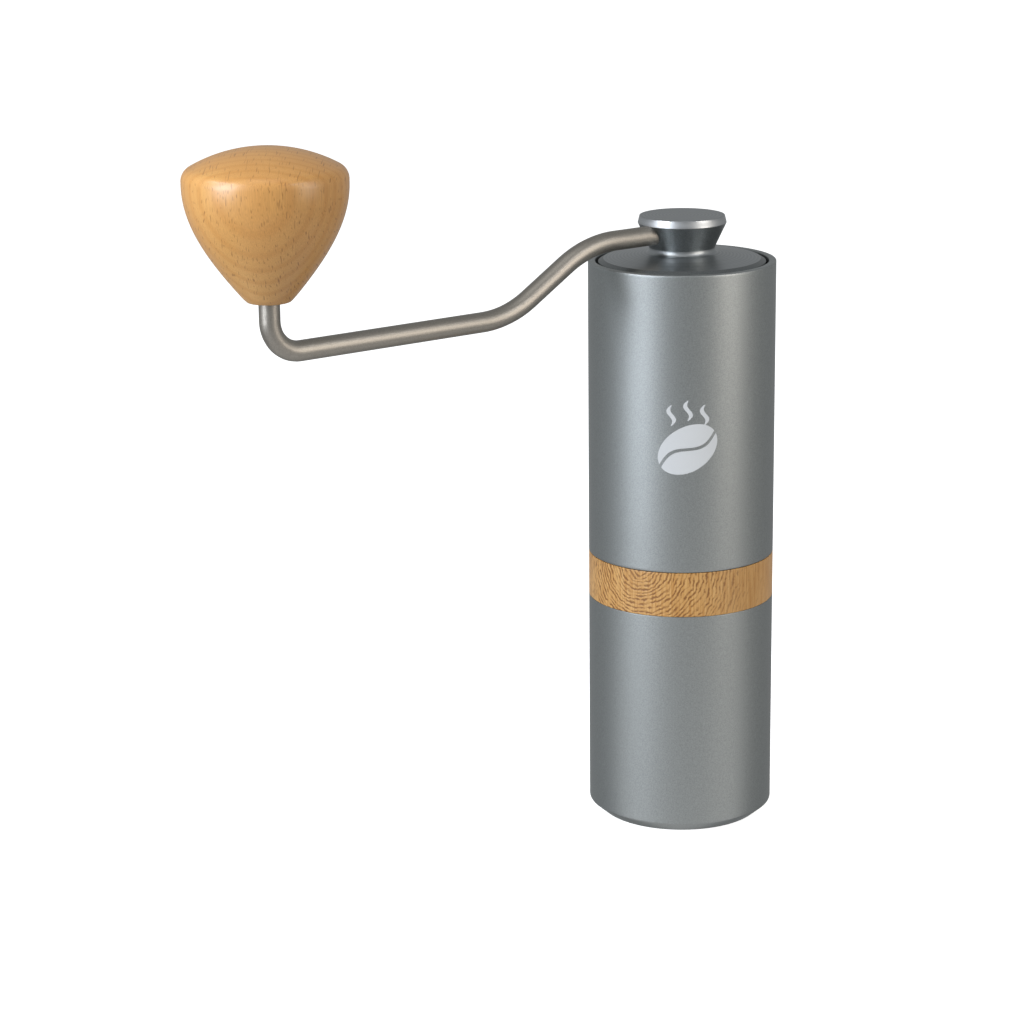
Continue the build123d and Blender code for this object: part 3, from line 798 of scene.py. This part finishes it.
@dataclass
class BodyTube:
    """Tube of the bean chamber, with its stepped bore."""

    metal: Finish
    rim_wall: float = 1.85
    chamber_wall: float = 3.4
    seat_step: float = 0.8
    lid_recess: float = 7.0
    slip: float = 0.05

    def build_tube(self) -> Piece:
        """Turns the tube."""
        outer = radius_mm("body_tube")
        foot = low_mm("body_tube")
        top = high_mm("body_tube")
        bore = outer - self.rim_wall
        chamber = outer - self.chamber_wall
        seat = chamber + self.seat_step
        seat_z = low_mm("upper_carrier")
        carrier_z = high_mm("burr_carrier") + self.slip
        ring_low = low_mm("carrier_snap_ring") - self.slip
        ring_high = high_mm("carrier_snap_ring") + self.slip
        lid_z = top - self.lid_recess
        profile = [
            (bore, foot),
            (outer, foot),
            (outer, top),
            (bore, top),
            (bore, lid_z),
            (seat, lid_z),
            (seat, ring_high),
            (bore, ring_high),
            (bore, ring_low),
            (seat, ring_low),
            (seat, seat_z),
            (chamber, seat_z),
            (chamber, carrier_z),
            (bore, carrier_z),
        ]
        return turn("tube_shell", profile, closed=True, bevel=0.28)

    def build(self) -> None:
        """Builds and places the tube."""
        tube = self.build_tube()
        dress(tube, self.metal)
        place_piece(tube, "body", "tube_aluminium", "body_tube")


class CapZone(Enum):
    """Zones of the lid and crown that differ in finish, in the order of their slots."""

    BLASTED = 0
    TURNED = 1
    POLISHED = 2


@dataclass
class CrankCap:
    """Lid and crown, turned in one piece."""

    # Finishes of the cone, the lid's edge and the hidden faces, of the crown's top, the waist
    # and the lid's face, and of the crown's edge band.
    blasted: Finish
    turned: Finish
    polished: Finish
    crown_top_radius: float = 10.85
    crown_radius: float = 11.3
    crown_band: float = 1.85
    crown_cone: float = 25.0
    waist_fillet: float = 1.3
    lid_slope: float = 7.25
    lid_flat_inset: float = 1.34
    lid_top_drop: float = 11.0
    lid_edge_drop: float = 11.75
    lid_edge_height: float = 3.1
    spigot_wall: float = 1.9
    spigot_height: float = 3.0
    web: float = 3.2
    boss_radius: float = 7.9
    ripple_mm: float = 2.6
    ripple_depth: float = 0.014
    ripple_steps: int = 60
    socket_radius: float = 4.9
    socket_depth: float = 14.4
    # The crown's edge is polished this far from its corners, and the lid's face is turned
    # between these depths under the crown's top.
    edge_margins: tuple[float, float] = (0.06, 0.03)
    turned_depths: tuple[float, float] = (8.2, 11.6)

    def lid_face(self, waist: tuple[float, float], edge: tuple[float, float]) -> Profile:
        """Lid's face from the waist to its edge, with the lathe's shallow ripples.

        Args:
            waist: Inner end as (radius, height).
            edge: Outer end as (radius, height).

        Returns:
            Points from the inner end to the outer end.
        """
        points: Profile = []
        for i in range(self.ripple_steps + 1):
            share = i / self.ripple_steps
            radius = waist[0] + (edge[0] - waist[0]) * share
            fade = math.sin(math.pi * share)
            ripple = self.ripple_depth * fade * math.cos(math.tau * radius / self.ripple_mm)
            points.append((radius, waist[1] + (edge[1] - waist[1]) * share + ripple))
        return points

    def build_cap(self) -> Piece:
        """Turns the lid and crown."""
        top = high_mm("crank_cap")
        lid_radius = radius_mm("crank_cap")
        foot = low_mm("crank_cap")
        band_z = top - self.crown_band
        lid_z = top - self.lid_top_drop
        edge_z = top - self.lid_edge_drop
        flat = lid_radius - self.lid_flat_inset
        lean = math.tan(math.radians(self.crown_cone))
        rise = math.tan(math.radians(self.lid_slope))
        waist_z = (lid_z + rise * (flat - self.crown_radius + lean * band_z)) / (1 + rise * lean)
        waist_r = self.crown_radius - lean * (band_z - waist_z)
        corner = 180 - (90 - self.crown_cone) - self.lid_slope
        half = math.radians(180 - corner) / 2
        reach = self.waist_fillet / math.tan(half)
        cone = math.radians(90 - self.crown_cone)
        slope = math.radians(self.lid_slope)
        upper = (waist_r + reach * math.cos(cone), waist_z + reach * math.sin(cone))
        lower = (waist_r + reach * math.cos(slope), waist_z - reach * math.sin(slope))
        centre = (
            upper[0] + self.waist_fillet * math.sin(cone),
            upper[1] - self.waist_fillet * math.cos(cone),
        )
        start = 180 - self.crown_cone
        end = 270 - self.lid_slope
        profile: Profile = [(0.0, top), (self.crown_top_radius, top), (self.crown_radius, band_z)]
        profile += arc_points(centre, self.waist_fillet, start, end, 14)
        profile += self.lid_face(lower, (flat, lid_z))[1:]
        spigot = lid_radius - self.spigot_wall
        lid_foot = edge_z - self.lid_edge_height
        profile += [
            (lid_radius, edge_z),
            (lid_radius, lid_foot),
            (spigot, lid_foot),
            (spigot, lid_foot - self.spigot_height),
            (spigot - self.spigot_wall, lid_foot - self.spigot_height),
            (spigot - self.spigot_wall, lid_z - self.web),
            (self.boss_radius, lid_z - self.web),
            (self.boss_radius, foot),
            (self.socket_radius, foot),
            (self.socket_radius, foot + self.socket_depth),
            (0.0, foot + self.socket_depth),
        ]
        return turn("cap_turning", profile, bevel=0.1)

    def zone(self, face: bpy.types.MeshPolygon, top: float, flat: float) -> CapZone:
        """Finish zone of one face.

        Args:
            face: Face of the cap.
            top: Height of the crown's top in millimetres.
            flat: Radius where the lid's face ends in millimetres.

        Returns:
            The zone.
        """
        height = top - face.center.z / MM
        radius = math.hypot(face.center.x, face.center.y) / MM
        upper_margin, lower_margin = self.edge_margins
        shallow, deep = self.turned_depths
        if upper_margin < height < self.crown_band - lower_margin:
            return CapZone.POLISHED
        if height < upper_margin or (shallow < height < deep and radius < flat):
            return CapZone.TURNED
        return CapZone.BLASTED

    def build(self) -> None:
        """Builds, dresses and places the cap."""
        cap = self.build_cap()
        dress(cap, self.blasted, self.turned, self.polished)
        top = high_mm("crank_cap")
        flat = radius_mm("crank_cap") - self.lid_flat_inset
        for face in cap.data.polygons:
            face.material_index = self.zone(face, top, flat).value
        place_piece(cap, "crank", "cap_aluminium", "crank_cap")


@dataclass
class CrankArm:
    """Arm bent from one round bar, from the crown out to the knob's stem."""

    steel: Finish
    radius: float = 2.5
    past_axis: float = 1.5
    bend_start: float = 30.45
    bend_end: float = 55.5
    hub_rise_under_crown: float = 4.25
    drop: float = 15.5
    bends: tuple[float, float, float] = (29.8, 27.1, 8.0)
    bend_steps: int = 24

    def route(self) -> list[Vector]:
        """Centre line of the bar, straight runs joined by tangent arcs, in millimetres."""
        reach = -(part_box("crank_rod")[0].x / MM + self.radius)
        hub = high_mm("crank_cap") - self.hub_rise_under_crown
        low = hub - self.drop
        corners = [
            Vector((self.past_axis, 0, hub)),
            Vector((-self.bend_start, 0, hub)),
            Vector((-self.bend_end, 0, low)),
            Vector((-reach, 0, low)),
            Vector((-reach, 0, high_mm("crank_rod"))),
        ]
        points = [corners[0]]
        for before, corner, after, radius in zip(corners, corners[1:], corners[2:], self.bends):
            points += self.bend(before, corner, after, radius)
        points.append(corners[-1])
        return points

    def bend(self, before: Vector, corner: Vector, after: Vector, radius: float) -> list[Vector]:
        """Arc that rounds one corner of the bar.

        Args:
            before: Corner before this one.
            corner: Corner to round.
            after: Corner after this one.
            radius: Radius of the bend.

        Returns:
            Points along the arc, both ends included.
        """
        come = (before - corner).normalized()
        leave = (after - corner).normalized()
        opening = come.angle(leave)
        reach = radius / math.tan(opening / 2)
        centre = corner + (come + leave).normalized() * radius / math.sin(opening / 2)
        first = corner + come * reach - centre
        swing = math.pi - opening
        side = first.cross(corner + leave * reach - centre)
        return [
            centre + Matrix.Rotation(swing * i / self.bend_steps, 3, side.normalized()) @ first
            for i in range(self.bend_steps + 1)
        ]

    def build(self) -> None:
        """Builds, dresses and places the arm."""
        curve = draw_line("arm_bar", [place * MM for place in self.route()])
        curve.data.dimensions = "3D"
        curve.data.bevel_depth = self.radius * MM
        curve.data.bevel_resolution = 10
        curve.data.use_fill_caps = True
        bpy.ops.object.convert(target="MESH")
        bar = bpy.context.object
        close_seams(SEAM_GAP)
        smooth(bar, 50.0)
        dress(bar, self.steel)
        place_piece(bar, "crank", "rod_steel", "crank_rod")


@dataclass
class TurnedKnob:
    """Turned wood knob: a flared flank, a soft shoulder and a domed top."""

    wood: Finish
    base_radius: float = 5.1
    base_rounding: float = 0.8
    belly_rise: float = 27.3
    flank_power: float = 0.97
    flank_steps: int = 40
    dome_radius: float = 36.0
    shoulder_radius: float = 3.5
    bore_radius: float = 3.95
    bore_depth: float = 24.95

    def profile(self) -> Profile:
        """Outline of the knob from the bore's end, down the bore and up the flank."""
        foot = low_mm("wood_knob")
        top = high_mm("wood_knob")
        low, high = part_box("wood_knob")
        belly = (high.x - low.x) / 2 / MM
        belly_z = foot + self.belly_rise
        start_r = self.base_radius + self.base_rounding
        start_z = foot + self.base_rounding
        points: Profile = [
            (0.0, foot + self.bore_depth),
            (self.bore_radius, foot + self.bore_depth),
            (self.bore_radius, foot),
            (self.base_radius, foot),
        ]
        for i in range(self.flank_steps + 1):
            share = i / self.flank_steps
            swell = math.sin(math.pi / 2 * share ** self.flank_power)
            points.append(
                (start_r + (belly - start_r) * swell, start_z + (belly_z - start_z) * share)
            )
        dome_z = top - self.dome_radius
        across = belly - self.shoulder_radius
        up = math.sqrt((self.dome_radius - self.shoulder_radius) ** 2 - across ** 2)
        meet = math.degrees(math.atan2(up, across))
        points += arc_points((across, dome_z + up), self.shoulder_radius, 0, meet, 14)
        points += arc_points((0.0, dome_z), self.dome_radius, meet, 90, 30)[1:-1]
        points.append((0.0, top))
        return points

    def build(self) -> None:
        """Builds, dresses and places the knob."""
        low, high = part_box("wood_knob")
        knob = turn("turned_knob", self.profile(), axis_x=(low.x + high.x) / 2 / MM, bevel=0.25)
        dress(knob, self.wood)
        place_piece(knob, "knob", "knob_wood", "wood_knob")


@dataclass
class EtchedMark:
    """Plain coffee bean with rising steam, laser-etched in the tube's face."""

    etched: Finish
    side: float = math.radians(-126.0)
    height: float = 106.0
    lift: float = 0.015
    depth: float = 0.1
    bean_centre: tuple[float, float] = (0.0, -3.1)
    bean_size: tuple[float, float] = (5.7, 8.2)
    bean_tilt: float = math.radians(-58.0)
    crease_swing: float = 1.4
    crease_width: float = 0.85
    steam_foot: float = 4.3
    steam_height: float = 5.2
    steam_swing: float = 0.7
    steam_width: float = 0.65
    # Share of the full width at the ends, and how far a side wisp drops per millimetre out.
    steam_end_share: float = 0.25
    steam_drop: float = 0.3
    steam_sides: tuple[float, ...] = (-4.2, 0.0, 4.2)
    plate_seam: float = 0.004

    def plate(self, name: str, columns: int, rows: int, place: Callable) -> Piece:
        """Thin plate on the tube's face, shaped from a grid.

        Args:
            name: Name of the piece.
            columns: Grid points across.
            rows: Grid points along.
            place: Turns shares across and along, each -1 to 1, to (x, z) in millimetres.

        Returns:
            The plate.
        """
        clear_selection()
        bpy.ops.mesh.primitive_grid_add(x_subdivisions=columns, y_subdivisions=rows, size=2.0)
        piece = bpy.context.object
        piece.name = name
        tube = radius_mm("body_tube")
        radius = (tube + self.lift) * MM
        for vertex in piece.data.vertices:
            x, z = place(vertex.co.x, vertex.co.y)
            angle = self.side + x / tube
            height = (self.height + z) * MM
            vertex.co = (radius * math.cos(angle), radius * math.sin(angle), height)
        close_seams(self.plate_seam)
        wall = piece.modifiers.new("plate_depth", "SOLIDIFY")
        wall.thickness = self.depth * MM
        wall.offset = 0.0
        bpy.ops.object.modifier_apply(modifier=wall.name)
        return piece

    def bean_half(self, across: float, along: float, side: int) -> tuple[float, float]:
        """Point of one half of the bean.

        Args:
            across: -1 at the crease and 1 at the rim.
            along: -1 at one tip of the bean and 1 at the other.
            side: 1 for the right half and -1 for the left one.

        Returns:
            The point as (x, z).
        """
        half_width, half_length = self.bean_size
        turn_angle = along * math.pi / 2
        length = half_length * math.sin(turn_angle)
        rim = side * half_width * math.cos(turn_angle)
        crease = self.crease_swing * math.sin(math.pi * length / half_length)
        crease += side * self.crease_width / 2
        if (rim - crease) * side < 0:
            crease = rim
        x = crease + (rim - crease) * (across + 1) / 2
        cosine, sine = math.cos(self.bean_tilt), math.sin(self.bean_tilt)
        middle_x, middle_z = self.bean_centre
        return (middle_x + x * cosine - length * sine, middle_z + x * sine + length * cosine)

    def wisp(self, across: float, along: float, middle: float) -> tuple[float, float]:
        """Point of one wisp of steam.

        Args:
            across: -1 to 1 across the wisp.
            along: -1 at its foot and 1 at its head.
            middle: X of the wisp's line.

        Returns:
            The point as (x, z).
        """
        share = (along + 1) / 2
        swell = (1 - self.steam_end_share) * math.sin(math.pi * share)
        width = self.steam_width * (self.steam_end_share + swell)
        drift = self.steam_swing * math.sin(math.tau * share)
        foot = self.steam_foot - self.steam_drop * abs(middle)
        return (middle + drift + across * width, foot + self.steam_height * share)

    def build(self) -> None:
        """Builds, dresses and places the mark."""
        plates = [
            self.plate(f"bean_half_{side}", 24, 48, partial(self.bean_half, side=side))
            for side in (-1, 1)
        ]
        plates += [
            self.plate(f"steam_{i}", 4, 32, partial(self.wisp, middle=middle))
            for i, middle in enumerate(self.steam_sides)
        ]
        clear_selection()
        for plate in plates:
            plate.select_set(True)
        bpy.context.view_layer.objects.active = plates[0]
        bpy.ops.object.join()
        mark = bpy.context.object
        mark.name = "etched_mark"
        dress(mark, self.etched)
        place_piece(mark, "body", "tube_aluminium")


@dataclass
class InnerWorks:
    """Pieces that keep their CAD shape: carriers, bearings, burrs, shaft, dial and clips."""

    carriers: tuple[str, ...] = ("upper_carrier", "burr_carrier", "thread_collar")
    clips: tuple[str, ...] = (
        "carrier_snap_ring", "shaft_circlips", "shaft_end_clip", "rod_grub_screw", "knob_snap_ring"
    )
    ground: tuple[str, ...] = (
        "main_shaft", "burr_pins", "spring_washer", "hub_socket", "knob_thrust_disc"
    )
    bearing_parts: tuple[str, ...] = ("outer", "inner", "balls", "shields")
    burrs: tuple[str, ...] = ("outer_burr", "inner_burr")
    springs: tuple[str, ...] = ("burr_spring", "detent_springs")
    cages: tuple[str, ...] = ("upper_bearing_cage", "lower_bearing_cage")

    def dress_nodes(self, material: Finish, *names: str) -> None:
        """Gives CAD nodes a finish through their own material slots.

        Args:
            material: The finish.
            *names: Names of the nodes.
        """
        for name in names:
            for node_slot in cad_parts[name].material_slots:
                node_slot.material = material
            LOG.info("%s keeps its CAD shape: %s", name, material.name)

    def build(self) -> None:
        """Dresses every CAD node that stays in view."""
        bearing_steel = [
            f"{end}_bearing_{part}" for end in ("upper", "lower") for part in self.bearing_parts
        ]
        bearing_steel.append("detent_balls")
        finishes = (
            (TurnedMetal("clear_anodised_aluminium", "#C4C6C8", 0.34), self.carriers),
            (BlackenedSteel("blackened_spring_steel"), self.clips),
            (TurnedMetal("ground_stainless_steel", "#C9C6C1", 0.22, 0.35), self.ground),
            (TurnedMetal("polished_bearing_steel", "#D2D3D4", 0.14, 0.4, 0.001), bearing_steel),
            (TurnedMetal("machined_burr_steel", "#B9B8B6", 0.3, 0.45, 0.006), self.burrs),
            (TurnedMetal("bright_spring_wire", "#BDBCB9", 0.26, 0.3, 0.002), self.springs),
            (BlastedAnodise("black_anodised_aluminium", "#26272A", 0.38), ("adjusting_dial",)),
            (TurnedMetal("turned_brass", "#D8AE62", 0.28, 0.4, 0.004), ("knob_bush",)),
            (MouldedPolymer("black_acetal", "#111213", 0.42), ("lid_glide_ring",)),
            (MouldedPolymer("black_silicone_rubber", "#141414", 0.62), ("collar_oring",)),
            (MouldedPolymer("natural_nylon", "#DDD6BC", 0.48), self.cages),
        )
        for finish, names in finishes:
            self.dress_nodes(finish.build(), *names)


# ---------------------------------------------------------------- studio


@dataclass(frozen=True)
class Softbox:
    """Rectangular softbox that faces a point on the grinder's axis."""

    name: str
    azimuth: float
    distance: float
    height: float
    size: tuple[float, float]
    watts: float
    colour: str = "#FFFFFF"
    aim_height: float = 0.09

    def build(self) -> None:
        """Makes the light."""
        data = bpy.data.lights.new(self.name, "AREA")
        data.shape = "RECTANGLE"
        data.size, data.size_y = self.size
        data.energy = self.watts
        data.color = linear(self.colour)[:3]
        light = bpy.data.objects.new(self.name, data)
        bpy.context.scene.collection.objects.link(light)
        angle = math.radians(self.azimuth)
        across, along = self.distance * math.cos(angle), self.distance * math.sin(angle)
        place = Vector((across, along, self.height))
        aim = Vector((0, 0, self.aim_height)) - place
        light.location = place
        light.rotation_euler = aim.to_track_quat("-Z", "Y").to_euler()
        light.visible_camera = False


@dataclass
class Studio:
    """Pale floor, even surround, soft lights and the camera."""

    floor_size: float = 80.0
    floor_drop: float = 0.2 * MM
    surround: str = "#B4B6B7"
    surround_strength: float = 0.72
    floor_white: float = 0.9
    floor_tone: float = 0.02
    floor_glow: float = 0.8
    card_azimuth: float = -130.0
    card_distance: float = 0.2
    card_size: tuple[float, float] = (0.42, 0.36)
    card_drop: float = 2.0 * MM
    card_glow: float = 0.68
    camera_place: Vector = field(default_factory=lambda: Vector((-0.4752, -0.5663, 0.2782)))
    camera_turn: float = math.radians(-36.586)
    camera_tilt: float = math.radians(90 - 14.977)
    camera_roll: float = math.radians(-0.636)
    lens: float = 103.0
    sensor: float = 36.0

    def build_surround(self) -> None:
        """Even grey surround that bare metal mirrors."""
        world = bpy.data.worlds.new("studio_surround")
        world.use_nodes = True
        world.node_tree.nodes.clear()
        back = add_node(
            world.node_tree,
            "Background",
            {"Color": linear(self.surround), "Strength": self.surround_strength},
        )
        add_node(world.node_tree, "OutputWorld", {"Surface": back.outputs[0]})
        bpy.context.scene.world = world

    def build_floor(self) -> None:
        """Plain pale floor, wide enough to fill the view."""
        clear_selection()
        middle = (0.0, 0.0, -self.floor_drop)
        bpy.ops.mesh.primitive_plane_add(size=self.floor_size, location=middle)
        floor = bpy.context.object
        floor.name = "studio_floor"
        material, tree, shader = start_material("matt_white_backdrop_paint", 0.9)
        shade = add_node(tree, "TexNoise", {"Vector": object_place(tree), "Scale": 3.0})
        dull, clean = grey(self.floor_white), grey(self.floor_white + self.floor_tone)
        colour = ramp(tree, shade.outputs["Fac"], (0.0, dull), (1.0, clean))
        tree.links.new(colour, shader.inputs["Base Color"])
        shader.inputs["Emission Color"].default_value = grey(1.0)
        shader.inputs["Emission Strength"].default_value = self.floor_glow
        dress(floor, material)
        floor.visible_glossy = False
        floor.visible_diffuse = False

    def build_card(self) -> None:
        """White card laid in front of the grinder, which only its metal mirrors."""
        clear_selection()
        bpy.ops.mesh.primitive_plane_add(size=1.0)
        card = bpy.context.object
        card.name = "reflector_card"
        width, length = self.card_size
        toward = math.radians(self.card_azimuth)
        for vertex in card.data.vertices:
            along = self.card_distance + vertex.co.x * length
            across = vertex.co.y * width
            vertex.co = (
                along * math.cos(toward) - across * math.sin(toward),
                along * math.sin(toward) + across * math.cos(toward),
                -self.card_drop,
            )
        material, _, shader = start_material("lit_white_card", 0.9)
        shader.inputs["Base Color"].default_value = grey(0.0)
        shader.inputs["Emission Color"].default_value = grey(1.0)
        shader.inputs["Emission Strength"].default_value = self.card_glow
        dress(card, material)
        card.visible_camera = False
        card.visible_diffuse = False
        card.visible_shadow = False

    def build_lights(self) -> None:
        """Softboxes and high keys on both sides of the camera, and a softbox overhead."""
        Softbox("left_softbox", 180.0, 0.75, 0.31, (0.36, 0.5), 5.8, "#F0F6FF").build()
        Softbox("right_softbox", -70.0, 0.75, 0.27, (0.36, 0.5), 2.1, "#FFF6EC").build()
        Softbox("left_key", 172.0, 0.62, 0.62, (0.45, 0.1), 1.6, aim_height=0.16).build()
        Softbox("right_key", -75.0, 0.62, 0.62, (0.4, 0.1), 0.7, aim_height=0.16).build()
        Softbox("top_softbox", -140.0, 0.3, 1.1, (0.6, 0.6), 1.0).build()

    def build_camera(self) -> None:
        """Camera a little above the lid, looking down at the grinder."""
        data = bpy.data.cameras.new("studio_camera")
        data.lens = self.lens
        data.sensor_width = self.sensor
        data.dof.use_dof = False
        camera = bpy.data.objects.new("studio_camera", data)
        bpy.context.scene.collection.objects.link(camera)
        turned = (
            Matrix.Rotation(self.camera_turn, 4, "Z")
            @ Matrix.Rotation(self.camera_tilt, 4, "X")
            @ Matrix.Rotation(self.camera_roll, 4, "Z")
        )
        camera.matrix_world = Matrix.Translation(self.camera_place) @ turned
        bpy.context.scene.camera = camera

    def build(self) -> None:
        """Builds the whole studio."""
        bpy.context.scene.view_settings.view_transform = "Standard"
        self.build_surround()
        self.build_floor()
        self.build_card()
        self.build_lights()
        self.build_camera()


# ---------------------------------------------------------------- the grinder


def figure_point() -> Vector:
    """Point on the wood band's upper edge that its figure runs round, in metres."""
    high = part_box("wood_ring")[1]
    side = math.radians(FIGURE_SIDE)
    return Vector((high.x * math.cos(side), high.x * math.sin(side), high.z + FIGURE_RISE))


def heart_point() -> Vector:
    """Middle of the tree that the knob's growth rings run round, in metres."""
    low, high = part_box("wood_knob")
    side = math.radians(HEART_SIDE)
    middle = (low.x + high.x) / 2
    return Vector((middle + HEART_AWAY * math.cos(side), HEART_AWAY * math.sin(side), 0.0))


def main() -> None:
    """Builds the grinder and its studio."""
    logging.basicConfig(level=logging.INFO, format="%(name)s: %(message)s")
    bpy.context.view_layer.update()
    body_finish = BlastedAnodise("grey_anodised_blasted_aluminium", "#9EA2A2", 0.46).build()
    cap_finish = BlastedAnodise("dark_grey_anodised_aluminium", "#7C8081", 0.38).build()
    lid_finish = TurnedMetal("dark_grey_anodised_turned_aluminium", "#A1A5A7", 0.36, 0.9).build()
    bright_finish = TurnedMetal("polished_aluminium_edge", "#B4B7B9", 0.4, 0.6, 0.001).build()
    arm_finish = BlastedAnodise("bead_blasted_stainless_steel", "#A09B93", 0.44).build()
    knob_finish = LacqueredBeech("lacquered_beech", heart_point(), HEART_SIDE).build()
    band_finish = FiguredWood("figured_oak", figure_point()).build()
    etched_finish = MouldedPolymer("laser_etched_anodise", "#C9CCCE", 0.6, 0.25).build()

    GroundsCup(body_finish, band_finish).build()
    BodyTube(body_finish).build()
    EtchedMark(etched_finish).build()
    CrankCap(cap_finish, lid_finish, bright_finish).build()
    CrankArm(arm_finish).build()
    TurnedKnob(knob_finish).build()
    InnerWorks().build()
    Studio().build()


if __name__ == "__main__":
    main()
